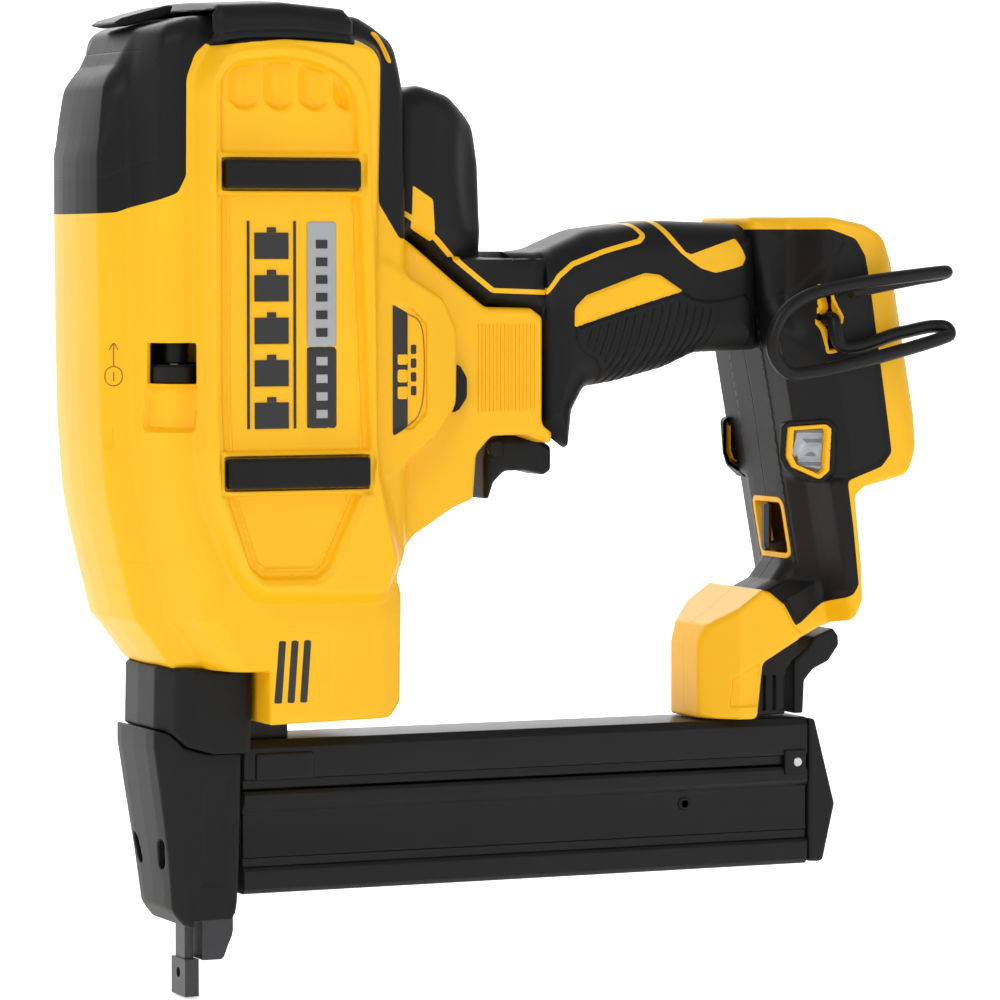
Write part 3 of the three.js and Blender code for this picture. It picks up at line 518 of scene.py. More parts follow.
def make_body():
    skin = surface(body, (-40, -49, 83), (119, PAST_MIDDLE, 304), 0.7)
    skin = clip(skin, skin[0][:, 1] + 0.08)
    x, y, z = skin[0].T
    yellow = flat(YELLOW_FIELD, x, z)
    corner = flat(CORNER_FIELD, x, z)
    lower = flat(LOWER_FIELD, x, z)
    gap = 0.12
    main = clip(skin, np.maximum(yellow + gap, gap - lower))
    cover = clip(skin, np.maximum(lower, yellow) + gap)
    top = clip(skin, within(gap - yellow, gap - corner, x - 60))
    cap = clip(skin, np.maximum(corner + gap, gap - yellow))
    right = mirrored(main)
    hole = flat(WINDOW, along_corner(main[0]), main[0][:, 2])
    at_corner = np.abs(main[0][:, 1]) > CORNER_START
    points, triangles, normals = clip(main, np.where(at_corner, -hole, -OUTSIDE))
    scoop = flat(SCOOP, along_corner(points), points[:, 2])
    deep = step((0.5 - scoop) / 1.1) * (np.abs(points[:, 1]) > CORNER_START)
    left = (points - 2.4 * deep[:, None] * normals, triangles, normals)
    for side, one in (("left", left), ("right", right)):
        points, triangles, _ = rim(one)
        piece("body_shell_" + side, points, triangles, YELLOW, stands_for=["housing_" + side])
    pair("nose_shroud", cover, YELLOW, ["front_cover"])
    pair("cap_overmould", top, RUBBER, ["top_overmould"])
    pair("cap_corner", cap, BLACK, ["corner_cover"])
    return skin


BODY_SKIN = make_body()


# ---------- bulge behind the body and grip
BULGE = rounded([
    (58, 224), (58, 276, 4), (68, 279.5, 6), (79, 276.4, 8), (90.5, 268, 10), (94.6, 256, 10),
    (96.2, 240, 10), (98.4, 231, 4), (101.5, 228.6), (112, 228.4), (112, 210.6), (92.5, 212.2),
    (65, 232.8)])
GRIP = rounded([
    (100, 212.4), (111.8, 209.6), (111.9, 174.6), (124, 165.8, 1.5), (125.4, 178.5, 4), (129.5, 185.8, 4),
    (140, 187.4, 5), (157, 191.6, 8), (168, 196.3, 8), (190, 197), (190, 236.4), (180, 237.4, 10),
    (154, 238.2, 20), (131, 235.4, 20), (117, 229.4, 6), (111, 228.2), (100, 228.4)])
PAD = rounded([
    (123.3, 204.9, 1), (123.3, 200.7, 4), (125.6, 196.8, 4), (130, 194.6, 3), (132.2, 191, 2), (131.6, 180),
    (185, 180), (185.2, 212.6, 4), (182, 215, 2), (176, 213.4, 5), (168, 212.8, 5), (163.5, 213.9, 4),
    (160.2, 215.9)])
INLAY = rounded([
    (122.8, 204.7), (122.9, 210.8, 3), (127, 214.6, 2), (147.6, 221.6, 4), (152.5, 221, 3), (160.4, 215.9)])
PATCH = rounded([
    (153.4, 239), (155.8, 235.6, 3), (158.7, 231.3, 2), (161.2, 228.2, 1.5), (163.4, 227.4, 1),
    (171, 229.9), (179.5, 232.5, 1), (182.9, 226.4, 1.5), (181.6, 224, 1), (178.6, 223.1), (172, 221.6, 3),
    (167, 223, 3), (163.2, 225.4), (160, 227.7, 4), (157, 230.8, 4), (154, 235, 3), (151.2, 239)])
LINE = rounded([
    (62, 240), (68.6, 235.6, 1), (94, 216.3, 2), (113.3, 215.6, 1.5), (117.4, 220.6, 3), (122.4, 224.4, 4),
    (133.6, 228.4, 6), (146.2, 231.6, 1.5), (148, 233.4, 1), (146.2, 236.4, 3), (141, 240)])
LINE_HALF = 0.75                         # half the width of the yellow line
BULGE_HALF = 26
GRIP_HALF = 18.2
RIB_PITCH = 2.85
RIB_DEPTH = 0.5
REAR_PATCH = rounded([(64.6, 248.6), (71.3, 244.3, 0.8), (72.2, 231, 1), (64.2, 235.6, 1)])


def near_line(points, u, v):
    """Distance from an open line of points."""
    best = np.full(np.broadcast(u, v).shape, FAR, np.float32)
    for (ax, ay), (bx, by) in zip(points[:-1], points[1:]):
        ex, ey = bx - ax, by - ay
        t = np.clip(((u - ax) * ex + (v - ay) * ey) / max(ex * ex + ey * ey, 1e-9), 0, 1)
        best = np.minimum(best, (u - ax - ex * t) ** 2 + (v - ay - ey * t) ** 2)
    return np.sqrt(best)


def bulge(x, y, z):
    """The motor bulge behind the body, with the start of the grip."""
    a = np.abs(y)
    width = BULGE_HALF - 5.5 * step((236 - z) / 12)
    nose = np.hypot(np.maximum(x - 70, 0) / 26.4, a / width) - 1
    round_plan = np.maximum(nose * 24, a - width)
    shape = both(flat(BULGE, x, z), np.where(z > 226, round_plan, a - width), 6.5)
    scoop = np.hypot(np.hypot(x - 92 + (z - 245) * 0.1, (z - 249) / 2.6), a - 27) - 9.5
    shape = both(shape, -scoop * 0.8, 3)
    return either(shape, both(both(flat(GRIP, x, z), x - 116, 0), a - 17.5, 6), 4)


def grip(x, y, z):
    a = np.abs(y)
    width = GRIP_HALF - 1.4 * bump((x - 140) / 22) * step((z - 196) / 14) + 1.4 * step((118 - x) / 8)
    pad = flat(PAD, x, z)
    inlay = flat(INLAY, x, z)
    width = width + 0.9 * step((0.4 - np.minimum(pad, inlay)) / 1.6)
    phase = (x + 0.0125 * np.maximum(217 - z, 0) ** 2) / RIB_PITCH
    line = bump((phase - np.round(phase)) / 0.24)
    zone = step((-1.6 - pad) / 1.0) * step((inlay - 1.3) / 0.8) * step((174 - x) / 4) * step((x - 125) / 2)
    zone = zone * step((208 + (x - 123) * 0.3 - z) / 3)
    shape = both(flat(GRIP, x, z), a - width, 10.5)
    return shape + RIB_DEPTH * line * zone


def make_grip():
    skin = surface(bulge, (57, -29, 207), (116, PAST_MIDDLE, 282), 0.7)
    x, y, z = skin[0].T
    skin = clip(skin, np.maximum(x - 113.2, MIDDLE_GAP + y))
    x, y, z = skin[0].T
    line = near_line(LINE, x, z) - LINE_HALF
    patch = flat(REAR_PATCH, x, z)
    yellow = np.where(y < -6, np.minimum(line, patch), OUTSIDE)
    for side in ("left", "right"):
        for name, value, material in (("bulge", 0.06 - yellow, RUBBER),
                                      ("bulge_trim", yellow + 0.02, YELLOW)):
            one = rim(clip(skin, value), 1.2, 0.15 if material is RUBBER else 0.05)
            one = one if side == "left" else mirrored(one)
            piece(f"{name}_{side}", one[0], one[1], material,
                  stands_for=["bulge_cover"] if (name, side) == ("bulge", "left") else ())
    skin = surface(grip, (109, -20.5, 164), (192, PAST_MIDDLE, 240), 0.5)
    x, y, z = skin[0].T
    slot = within(x - 124.9, z - 176, np.abs(y) - 9)
    skin = clip(skin, within(113.3 - x, x - 190.4, MIDDLE_GAP + y, -slot))
    x, y, z = skin[0].T
    yellow = np.minimum(np.minimum(flat(INLAY, x, z), flat(PATCH, x, z)), near_line(LINE, x, z) - LINE_HALF)
    pad = flat(PAD, x, z)
    pair("grip_skin", clip(skin, np.maximum(0.1 - yellow, 0.14 - pad)), RUBBER, ["grip"], 1.2, 0.2)
    pair("grip_pad", clip(skin, np.maximum(0.1 - yellow, pad + 0.14)), RUBBER, (), 1.2, 0.2)
    pair("grip_inlay", clip(skin, yellow + 0.02), YELLOW, (), 1.2, 0.08)


make_grip()


# ---------- battery foot
FOOT_SIDE = rounded([
    (189.8, 196.5), (193.8, 180.6), (198.2, 150.2), (201.9, 129.5, 3), (197, 123, 2), (184, 117), (184, 98),
    (190, 98.6), (201.3, 104.3, 2), (214.4, 110.8, 3), (217.4, 117.4, 3), (216.9, 129), (214.6, 150.5, 2),
    (218, 153.4, 3), (233, 157, 5), (237.6, 166, 8), (238.2, 176), (230, 225, 8), (226, 232.5, 8),
    (217.5, 237, 8), (206, 239.3, 8), (180.5, 239.3, 3), (177.2, 235.2, 1), (178, 233), (186.5, 222)])
FOOT_RIM = rounded([
    (160, 235.3), (204.5, 235.4, 4), (213.4, 232.4, 4), (216.8, 227, 3), (218.4, 219), (225.2, 174.4),
    (226.6, 164.4, 3), (223, 160, 3), (210.8, 155.6, 2), (212.9, 141), (214.9, 122.6, 2), (213.5, 119.7, 3),
    (202, 109.9, 0.6), (200, 108.9, 0.4), (195.9, 115.8, 3), (191.0, 119.6, 2), (186.5, 121.4),
    (160, 121.6)])
FOOT_PLAN = rounded([
    (193.8, -30), (193.8, 0), (194.1, 12), (195.1, 24.2, 1.2), (206.2, 34.6, 1.5), (208.6, 36, 2),
    (230, 36, 8), (240, 26, 8), (242, 0), (242, -30)])
LEG_PLAN = rounded([
    (193.8, -30), (193.8, 0), (193.9, 8), (194.4, 13.6, 1.2), (198, 20.5, 2), (199, 24, 1),
    (201.5, 34.4, 2), (204, 36, 2), (230, 36, 8), (240, 26, 8), (242, 0), (242, -30)])
LED = rounded([
    (196.4, 172.7, 0.8), (205.3, 173.7, 1), (206.6, 172.2, 0.8), (206.9, 158.8, 0.8), (204.8, 156, 0.8),
    (197.9, 159.9, 0.8), (196.5, 163.2, 0.6)])
BEZEL = rounded([
    (194.2, 149.5, 0.6), (202.4, 149.3, 2), (205.4, 145, 1.5), (207.7, 131.6, 1), (206, 129.9, 0.5),
    (198.6, 129.9, 1.5), (196.2, 134.6, 1.5)])
CREASES = [[(210.4, 236), (207.8, 230), (198.6, 215.5), (190, 213)],
           [(190.6, 196), (192.4, 186), (195.2, 171)]]


FOOT_HALF = 35.9
RIM_STEP = 0.5                           # the black skin lies this far below the yellow rim
DOCK_START = 212
DOCK_HALF = 26


def upright(x, z):
    """X with the foot's backward lean taken out."""
    return x - 0.18 * (180 - z)


def foot(x, y, z):
    """The battery foot: a leaning shell, a narrow flare below it and the dock's room."""
    a = np.abs(y)
    u = upright(x, z)
    low = step((157.5 - z) / 3)
    plan = flat(FOOT_PLAN, u, a) * (1 - low) + flat(LEG_PLAN, u, a) * low
    rear = both(flat(FOOT_SIDE, x, z), plan, 2.0)
    rear = both(rear, a - np.interp(z, (104, 114), (20, FOOT_HALF)).astype(np.float32), 1.2)
    flare_front = np.interp(z, (112, 117, 123, 129.5), (180, 184, 197, 201.9)).astype(np.float32)
    flare_width = np.minimum(9 + 0.9 * np.maximum(x - flare_front, 0), 19.6)
    flare = both(both(flat(FOOT_SIDE, x, z), a - flare_width, 2), z - 131, 3)
    rear = either(rear, flare, 1.5)
    neck = step((z - 192) / 22) * step((207 - x) / 12)
    rear = both(rear, a - FOOT_HALF + 15 * neck, 5)
    rim = -flat(FOOT_RIM, x, z)
    black = step((rim - 0.4) / 1.8)
    rear = rear + RIM_STEP * black * (a > 12)
    groove = 0
    for line in CREASES:
        groove = np.maximum(groove, bump(near_line(np.array(line), x, z) / 1.6))
    rear = rear + RIM_STEP * groove * black
    dock = within(DOCK_START - x, a - DOCK_HALF, np.abs(z - 197) - 29)
    return both(rear, -dock, 0.4)


HOOK_SLOT = rounded([
    (200.7, 217.8, 0.8), (204.8, 218.1, 0.8), (206.2, 213, 1.5), (209.5, 207.3, 1.5), (207.7, 203.2, 1.5),
    (209.5, 196.9, 0.8), (203.8, 196, 0.8), (202.3, 203.6, 1), (200.2, 207.4, 1), (202.3, 210.8, 1)])
LED_CORNER = (195.1, 24.2)               # X and half width where the slanted face starts
LED_SHIFT = 1.2
LED_TURN = math.atan2(10.4, 11.1)


def led_part(name, outer, inner, height, material, stands_for=()):
    """A ring or a lens lying on the slanted corner face of the foot."""
    def field(x, y, z):
        a = np.abs(y)
        along, out = upright(x, z) - LED_CORNER[0], a - LED_CORNER[1]
        over = out * math.cos(LED_TURN) - along * math.sin(LED_TURN)
        edge = flat(LED, x + LED_SHIFT, z)
        if inner is None:
            across = np.abs((x - 201.6 - 0.2 * (z - 165)) / 3.0) - 0.1
            facets = np.maximum(np.abs((z - 165.4) / 3.1) - 0.2, across)
            over = over + 0.9 * np.abs(facets % 1.0 - 0.5)
        shape = both(edge - outer, np.maximum(over - height, -3.5 - over), 0.25)
        return shape if inner is None else both(shape, inner - edge, 0.25)
    skin = surface(field, (193, -38, 152), (211, -20, 177), 0.35)
    for side, (points, triangles, _) in (("left", skin), ("right", mirrored(skin))):
        piece(f"{name}_{side}", points, triangles, material, stands_for=[f"{s}_{side}" for s in stands_for])


def make_foot():
    skin = surface(foot, (176, -37, 96), (241, PAST_MIDDLE, 240.5), 0.6)
    x, y, z = skin[0].T
    skin = clip(skin, MIDDLE_GAP + y)
    x, y, z = skin[0].T
    black = flat(FOOT_RIM, x, z)
    led = np.where((y < -20) & (y > -36.5) & (x < 209), flat(LED, x + LED_SHIFT, z), OUTSIDE)
    hook = np.where(y < -30, flat(HOOK_SLOT, x, z), OUTSIDE)
    slot = both(flat(BEZEL, x + 0.13 * np.abs(y), z), np.abs(y) - 10.6, 3.0)
    slot = np.where(np.abs(y) < 11.6, slot, OUTSIDE)
    cover = clip(skin, within(black + 0.12, -0.6 - led, 0.1 - slot, 0.1 - hook))
    pair("foot_skin", cover, BLACK, ["foot_cover"])
    pair("foot_rim", clip(skin, 0.12 - black), YELLOW, (), EDGE_DEPTH, 0.3)
    led_part("led_surround", 1.5, 0.2, 0.35, BLACK)
    led_part("led_frame", 0.0, -1.25, 0.9, YELLOW)
    led_part("led_window", -1.3, None, -0.3, LENS, ["led_lens"])
    points, triangles, normals = clip(skin, np.maximum(hook + 0.05, -0.7 - hook))
    pair("hook_slot_rim", (points + 0.1 * normals, triangles, normals), YELLOW, (), 4.0, 0.2)
    bezel = clip(skin, np.maximum(slot + 0.05, -1.3 - slot))
    points, triangles, normals = bezel
    pair("key_slot_rim", (points + 0.3 * normals, triangles, normals), YELLOW, (), 4.5, 0.25)


make_foot()


# ---------- plain helpers for small pieces
def solid(name, field, low, high, size, material, body="tool", stands_for=()):
    """A whole field as one piece."""
    points, triangles, _ = surface(field, low, high, size)
    piece(name, points, triangles, material, body, stands_for)


def plate(name, outline, half, ease, material, body="tool", stands_for=(), size=0.45, middle=0.0):
    """A side outline given a width, with rounded edges."""
    low, high = np.min(outline, 0), np.max(outline, 0)
    solid(name, lambda x, y, z: both(flat(outline, x, z), np.abs(y - middle) - half, ease),
          (low[0] - 1, middle - half - 1, low[1] - 1), (high[0] + 1, middle + half + 1, high[1] + 1),
          size, material, body, stands_for)


def brick(x0, x1, y0, y1, z0, z1, ease):
    """A box field with rounded edges."""
    def field(x, y, z):
        return both(both(span(x, x0, x1), span(y, y0, y1), ease), span(z, z0, z1), ease)
    return field


def oblong(x0, x1, z0, z1, corner=0):
    """A box outline with round corners."""
    return rounded([(x0, z0, corner), (x1, z0, corner), (x1, z1, corner), (x0, z1, corner)])


def ring_faces(rings, count, closed=True):
    """Quads between rings of points, and the two ends where closed."""
    faces = []
    for ring in range(rings - 1):
        for k in range(count):
            a, b = ring * count + k, ring * count + (k + 1) % count
            faces.append((a, b, b + count, a + count))
    if closed:
        faces.append(tuple(reversed(range(count))))
        faces.append(tuple(range((rings - 1) * count, rings * count)))
    return faces


def run(name, section, x0, x1, material, body="tool", stands_for=(), ease=0.4):
    """A Y-Z section run along X, with a small chamfer at each end."""
    section = np.asarray(section)
    middle = section.mean(0)
    rings = []
    for x, inset in ((x0, ease), (x0 + ease, 0), (x1 - ease, 0), (x1, ease)):
        away = section - middle
        moved = section - inset * away / np.maximum(np.linalg.norm(away, axis=1, keepdims=True), 1e-6)
        rings.append(np.column_stack([np.full(len(section), x), moved]))
    faces = ring_faces(len(rings), len(section))
    piece(name, np.concatenate(rings), faces, material, body, stands_for, SHARP_BAR)


def both_sides(half_section):
    """A right-hand half section, bottom to top, closed over the centre plane."""
    half = rounded(half_section, 3)
    return np.concatenate([half, (half * (-1, 1))[::-1]])


def disc(name, axis, centre, radius, low, high, material, body="tool", stands_for=(), ease=0.3, sides=48):
    """A round bar with eased edges; centre holds the two other directions in X, Y, Z order."""
    inner = radius - ease
    profile = [
        (0, low), (inner, low), (radius, low + ease), (radius, high - ease), (inner, high), (0, high)]
    points = []
    for r, h in profile:
        for k in range(sides):
            angle = 2 * math.pi * k / sides
            p, q = centre[0] + r * math.cos(angle), centre[1] + r * math.sin(angle)
            points.append({"x": (h, p, q), "y": (p, h, q), "z": (p, q, h)}[axis])
    faces = ring_faces(len(profile), sides, False)
    if axis == "y":
        faces = [face[::-1] for face in faces]
    piece(name, points, faces, material, body, stands_for, SHARP_BAR)


# ---------- nose
BLADE_MIDDLE = 3.9                       # X of the driver blade's slot
BLADE_ROOM = 1.05                        # half the slot's length in X
BLADE_HALF = 3.7                         # half its width
HOLLOW_HALF = 15.5                       # half the width of the room inside the nose
NOSE_PLAN = rounded([
    (-15.9, -30), (-15.9, 0), (-15.4, 13, 3), (-11, 22.4, 5), (-6, 24, 3), (12.8, 24, 3), (13.2, 0),
    (13.2, -30)])
NOSE_SIDE = rounded([(-30, 103.2), (-15.8, 103.0), (13.3, 100.9, 1), (13.3, 60), (-30, 60)])
COVER_PLAN = rounded([
    (-17.5, -30), (-17.5, 0), (-17.3, 11), (-16.7, 17, 1.5), (-9.4, 20.1, 2), (10.6, 20.1, 1.5),
    (10.8, -30)])
COVER_SIDE = rounded([
    (-30, 90), (-30, 25), (-10, 27.5, 2), (-6.2, 23, 3), (1, 20.7, 2), (9, 20.7, 2), (10.9, 30, 6),
    (10.9, 90)])
SPLIT = rounded([
    (-30, 84.8), (-16, 83.6), (-12.2, 82.4, 2), (-8, 78.4, 3), (-0.5, 76.2, 4), (30, 75.6), (30, 130),
    (-30, 130)])
COVER_ROOM = rounded([
    (-10.5, 95), (-13.6, 78), (-9.2, 52), (-5.4, 31.5), (-3.4, 26.5), (-3.4, 0), (20, 0), (20, 26),
    (9.4, 26.5), (9.4, 95)])
GUIDE = rounded([(2.0, 11.2, 0.5), (8.6, 11.2, 0.8), (12, 18.6, 1), (12, 26), (2.0, 26)])


def nose_housing(x, y, z):
    a = np.abs(y)
    shape = both(flat(NOSE_PLAN, x - 0.02 * (z - 90), a), flat(NOSE_SIDE, x, z), 1.2)
    shape = both(shape, flat(SPLIT, x, z) + 0.15, 0.5)
    return np.maximum(shape, -np.maximum(np.abs(x + 0.5) - 10.4, a - HOLLOW_HALF))


def nose_cover(x, y, z):
    down = np.clip((78 - z) / 58, 0, 1.1)
    a = np.abs(y) / (1 - 0.24 * down * down)
    u = x - 8.6 * down * np.clip((8 - x) / 20, 0, 1)
    shape = both(flat(COVER_PLAN, u, a), flat(COVER_SIDE, x, z), 1.6)
    slant = (z - 45) * 0.25
    recess = np.hypot(np.maximum(np.abs(z - 45) - 2.2, 0), (np.abs(y) - 10.4 - slant)) - 2.5
    shape = both(shape, -np.maximum(recess, x + 8.9), 0.5)
    flank = np.maximum(np.abs(z - 52) - 17, np.abs(x - 2) - 4.5)
    shape = shape + 0.5 * step(-flank / 1.5) * (np.abs(y) > 15)
    shape = both(shape, -flat(SPLIT, x, z) + 0.15, 0.5)
    return np.maximum(shape, -np.maximum(flat(COVER_ROOM, x, z), np.abs(y) - HOLLOW_HALF))


def staple_guide(x, y, z):
    shape = both(flat(GUIDE, x, z), np.abs(y) - 7.9, 0.6)
    return np.maximum(shape, -np.maximum(np.abs(y) - BLADE_HALF, np.abs(x - BLADE_MIDDLE) - BLADE_ROOM))


def make_nose():
    solid("nose_collar", nose_housing, (-18, -25, 74), (15, 25, 104.5), 0.6, BLACK,
          stands_for=["nose_housing"])
    solid("nose_shell", nose_cover, (-19, -21.5, 19.5), (12, 21.5, 86), 0.5, BLACK,
          stands_for=["nose_cover"])
    for side, name in SIDES:
        centre = (side * 10.4, 44.6)
        disc("nose_screw_head_" + name, "x", centre, 2.0, -10.6, -8.4, DARK_STEEL)
        # Painted shade: each hex socket is a flat black hexagon on the screw head.
        disc("nose_screw_socket_" + name, "x", centre, 1.0, -10.7, -10.3, PRINT_AND_SHADE_BLACK, sides=6, ease=0.1)
    solid("staple_guide", staple_guide, (1, -9, 10), (13, 9, 27), 0.4, DARK_STEEL)


make_nose()


# ---------- magazine
RAIL = both_sides([
    (0, 63.6), (12.2, 63.6), (12.6, 64.0), (12.6, 66.5), (13.9, 66.9, 0.4), (14, 76.4, 0.8),
    (12.4, 78.9, 1), (0, 78.9)])
CHANNEL = both_sides([
    (0, 31.5), (12.6, 31.5, 1.5), (14, 33.2, 1), (14, 38.6, 0.8), (13.2, 39.6, 0.4), (12.3, 40),
    (12.3, 42.4), (13, 43, 0.5), (12.6, 44), (12.6, 56.6), (13.4, 57.6, 0.6), (14, 58.6, 0.8),
    (14, 62, 0.8), (13.2, 63.2, 0.5), (0, 63.2)])
RAIL_STOP = rounded([(17.5, 78.4), (30.4, 78.4), (30.4, 82.8, 1), (28, 84.6), (17.5, 84.6)])
RAIL_ENDS = (13.2, 207.6)
RIVET = (163.9, 52.7)
END_CAP = rounded([
    (207.9, 32.2, 0.8), (213.2, 31.9, 2), (217.5, 50.5, 2), (210.2, 78.2, 1.5), (207.9, 78.5, 0.5)])


def make_magazine():
    run("magazine_top_rail", RAIL, *RAIL_ENDS, METAL_BLACK, stands_for=["magazine_rail"])
    run("magazine_slide", CHANNEL, *RAIL_ENDS, METAL_BLACK, "magazine", ["magazine_channel"])
    plate("magazine_rear_cap", END_CAP, 14, 1.2, BLACK, "magazine", ["magazine_end_cap"])
    for side, name in SIDES:
        y0, y1 = sorted((side * 13.2, side * 14.7))
        lug = brick(17, 36.5, y0, y1, 66.4, 75.2, 1.2)
        solid("rail_lug_" + name, lug, (16, y0 - 1, 65), (38, y1 + 1, 77), 0.35, METAL_BLACK)
        bracket = brick(199, 206.6, y0, y1, 60.6, 68.6, 0.5)
        solid("rail_bracket_" + name, bracket, (198, y0 - 1, 59), (208, y1 + 1, 70), 0.35, BLACK)
        disc("bracket_screw_" + name, "y", (203.6, 64.6), 1.5, *sorted((side * 14.0, side * 15.0)), STEEL)
        y0, y1 = sorted((side * 12.4, side * 13.3))
        disc("slide_rivet_" + name, "y", RIVET, 1.5, y0, y1, STEEL, "magazine")
        disc("slide_rivet_ring_" + name, "y", RIVET, 2.1, y0, y1 - side * 0.2, BLACK, "magazine")
    disc("cap_screw", "x", (0, 36.5), 1.8, 213.0, 214.6, STEEL, "magazine")
    plate("rail_stop", RAIL_STOP, 7.8, 0.5, METAL_BLACK)


make_magazine()


# ---------- block on the magazine, latch
BLOCK_SIDE = rounded([
    (169.3, 103), (169.4, 79.5, 1), (186.6, 79.4, 2), (188.6, 97.2, 3), (201.3, 104.3, 1),
    (203.2, 106.4, 1), (200, 109.0, 0.5), (196.1, 116, 3), (191.2, 119.8, 2), (188.2, 120.7),
    (172.2, 109.4, 3)])
BLOCK_PLAN = rounded([
    (169.3, -30), (169.3, 0), (169.5, 9.6, 1.2), (180.2, 20, 1.5), (207, 20, 2), (207, -30)])
BLOCK_PANEL = rounded([(177.8, 83.4, 0.6), (186.4, 83.8, 0.6), (187.2, 97.6, 0.6), (178.6, 92.4, 0.6)])
LATCH = rounded([
    (203.4, 80.0, 0.5), (206.7, 80.0, 0.5), (207.2, 90.6, 2), (210.4, 94.1, 2), (215.8, 96.5, 3),
    (219.6, 101.6, 1.5), (219.4, 104.6, 1), (217.4, 107.2, 1), (210.6, 104.4), (208.4, 101.4, 1),
    (203.4, 97.2, 0.5)])
LATCH_BASE = rounded([
    (188.9, 95, 1), (187.4, 79.9, 0.5), (200.2, 79.9, 0.5), (200.4, 94, 1), (204.2, 98.8, 1), (205, 105.2),
    (200, 108.2, 1)])


def block(x, y, z):
    a = np.abs(y)
    shape = both(flat(BLOCK_SIDE, x, z), flat(BLOCK_PLAN, x, a), 1.6)
    panel = flat(BLOCK_PANEL, x, z)
    return shape + 0.9 * step((0.4 - panel) / 0.8) * (a > 10)


def latch_base(x, y, z):
    """The latch's housing, with upright grooves in its sides."""
    shape = both(flat(LATCH_BASE, x, z), np.abs(y) - 12.4, 0.8)
    groove = np.abs((x - 194.2) % 3.6 - 1.8) - 0.7
    return both(shape, -within(groove, np.abs(z - 87) - 5.6, 11.2 - np.abs(y)), 0.2)


def make_rear_end():
    skin = surface(block, (167, -22, 77), (205, PAST_MIDDLE, 122), 0.5)
    pair("magazine_block", clip(skin, MIDDLE_GAP + skin[0][:, 1]), YELLOW)
    solid("latch_base", latch_base, (186, -13.5, 79), (208, 13.5, 109.5), 0.45, BLACK,
          stands_for=["latch_housing"])
    plate("latch_lever", LATCH, 12.4, 0.9, BLACK, "latch", ["magazine_latch"])


make_rear_end()


# ---------- bumpers, lever, trigger, wheel, hook
STRAP = rounded([
    (-6.6, 286), (-6.9, 301.0, 1.5), (-4.5, 303.6, 2), (16, 304.6, 20), (36, 302.9, 3), (39.1, 299.6, 2),
    (39.2, 286)])
LEVER = rounded([
    (-27.2, 296.9, 0.6), (-22.4, 296.2, 1), (-11.4, 298.8, 1), (-8.4, 300.6, 0.5), (-7.6, 302.8, 0.4),
    (-10, 302.6, 1), (-24, 298.7, 1)])
TRIGGER = rounded([
    (96.9, 163.6, 1), (98.2, 169.4, 2), (104, 170.4), (115, 170.4, 1), (120, 167, 2), (120, 159.6, 2),
    (117.6, 158.1, 1.5), (111, 159.6, 8), (104, 159.6, 4), (100.3, 156, 2), (98.6, 151.0, 0.8),
    (97.0, 151.0, 0.8)])
LOCK = rounded([
    (79.6, 178.6, 0.5), (81.6, 179.6, 2), (84.2, 183.4, 3), (84.2, 189.4, 3), (81.9, 193.2, 2),
    (79.6, 193.9, 0.5)])
HOOK = [
    (203, -34.3, 207), (203, -38.6, 207), (205, -41, 198.4), (226, -41, 202.6), (238, -41, 204.6),
    (241.6, -42.5, 204.2), (242.0, -44, 202.2), (239, -45, 201.0), (193, -45, 190.6), (184, -45, 190.6),
    (178.8, -45, 197), (180.5, -45, 206.5), (189.6, -45, 214), (236, -45, 221.6), (241, -43.5, 221.8),
    (239.6, -41.6, 221.0), (232, -41, 219.8), (208, -41, 215.6)]


def mix(t, start, end, p, q):
    """Where a move from p at start to q at end has come to at t."""
    return (end - t) / (end - start) * p + (t - start) / (end - start) * q


def smooth_line(points, count):
    """A centripetal Catmull-Rom curve through points."""
    points = np.array(points, float)
    ends = np.concatenate([[2 * points[0] - points[1]], points, [2 * points[-1] - points[-2]]])
    times = np.concatenate([[0], np.cumsum(np.linalg.norm(np.diff(ends, axis=0), axis=1) ** 0.5)])
    out = []
    for t in np.linspace(times[1], times[-2] - 1e-6, count):
        i = np.searchsorted(times, t, side="right") - 1
        i = min(max(i, 1), len(points) - 1)
        t0, t1, t2, t3 = times[i - 1:i + 3]
        a1, a2, a3 = (mix(t, times[k], times[k + 1], ends[k], ends[k + 1]) for k in (i - 1, i, i + 1))
        out.append(mix(t, t1, t2, mix(t, t0, t2, a1, a2), mix(t, t1, t3, a2, a3)))
    return np.array(out)


def wire(name, points, radius, material, stands_for=(), count=260, sides=16, body="tool"):
    """A round wire along a smooth line through points."""
    centre = smooth_line(points, count)
    along = np.gradient(centre, axis=0)
    along /= np.linalg.norm(along, axis=1, keepdims=True)
    side = np.cross(along[0], (0.3, 0.2, 1.0))
    rings = []
    for here, forward in zip(centre, along):
        side = side - forward * (side @ forward)
        side /= np.linalg.norm(side)
        other = np.cross(forward, side)
        angles = np.linspace(0, 2 * math.pi, sides, endpoint=False)
        rings.append(here + radius * (np.cos(angles)[:, None] * side + np.sin(angles)[:, None] * other))
    piece(name, np.concatenate(rings), ring_faces(count, sides), material, body, stands_for)


def strap(x, y, z):
    a = np.abs(y)
    crown = z + 0.0011 * a * a
    shape = both(flat(STRAP, x, crown), a - 43.4, 4.5)
    hem = 290.4 + 1.6 * (1 - ((x - 16) / 23) ** 2)
    inside = np.maximum(a - 40.6, z - 300.2)
    shape = both(both(shape, hem - z, 1.0), -inside, 0.5)
    edge = bump((hem + 2.6 - z) / 0.7) * (a > 36)
    return shape + 0.3 * edge


def finger_trigger(x, y, z):
    return both(flat(TRIGGER, x, z), np.abs(y) - 7.9, 2.4)


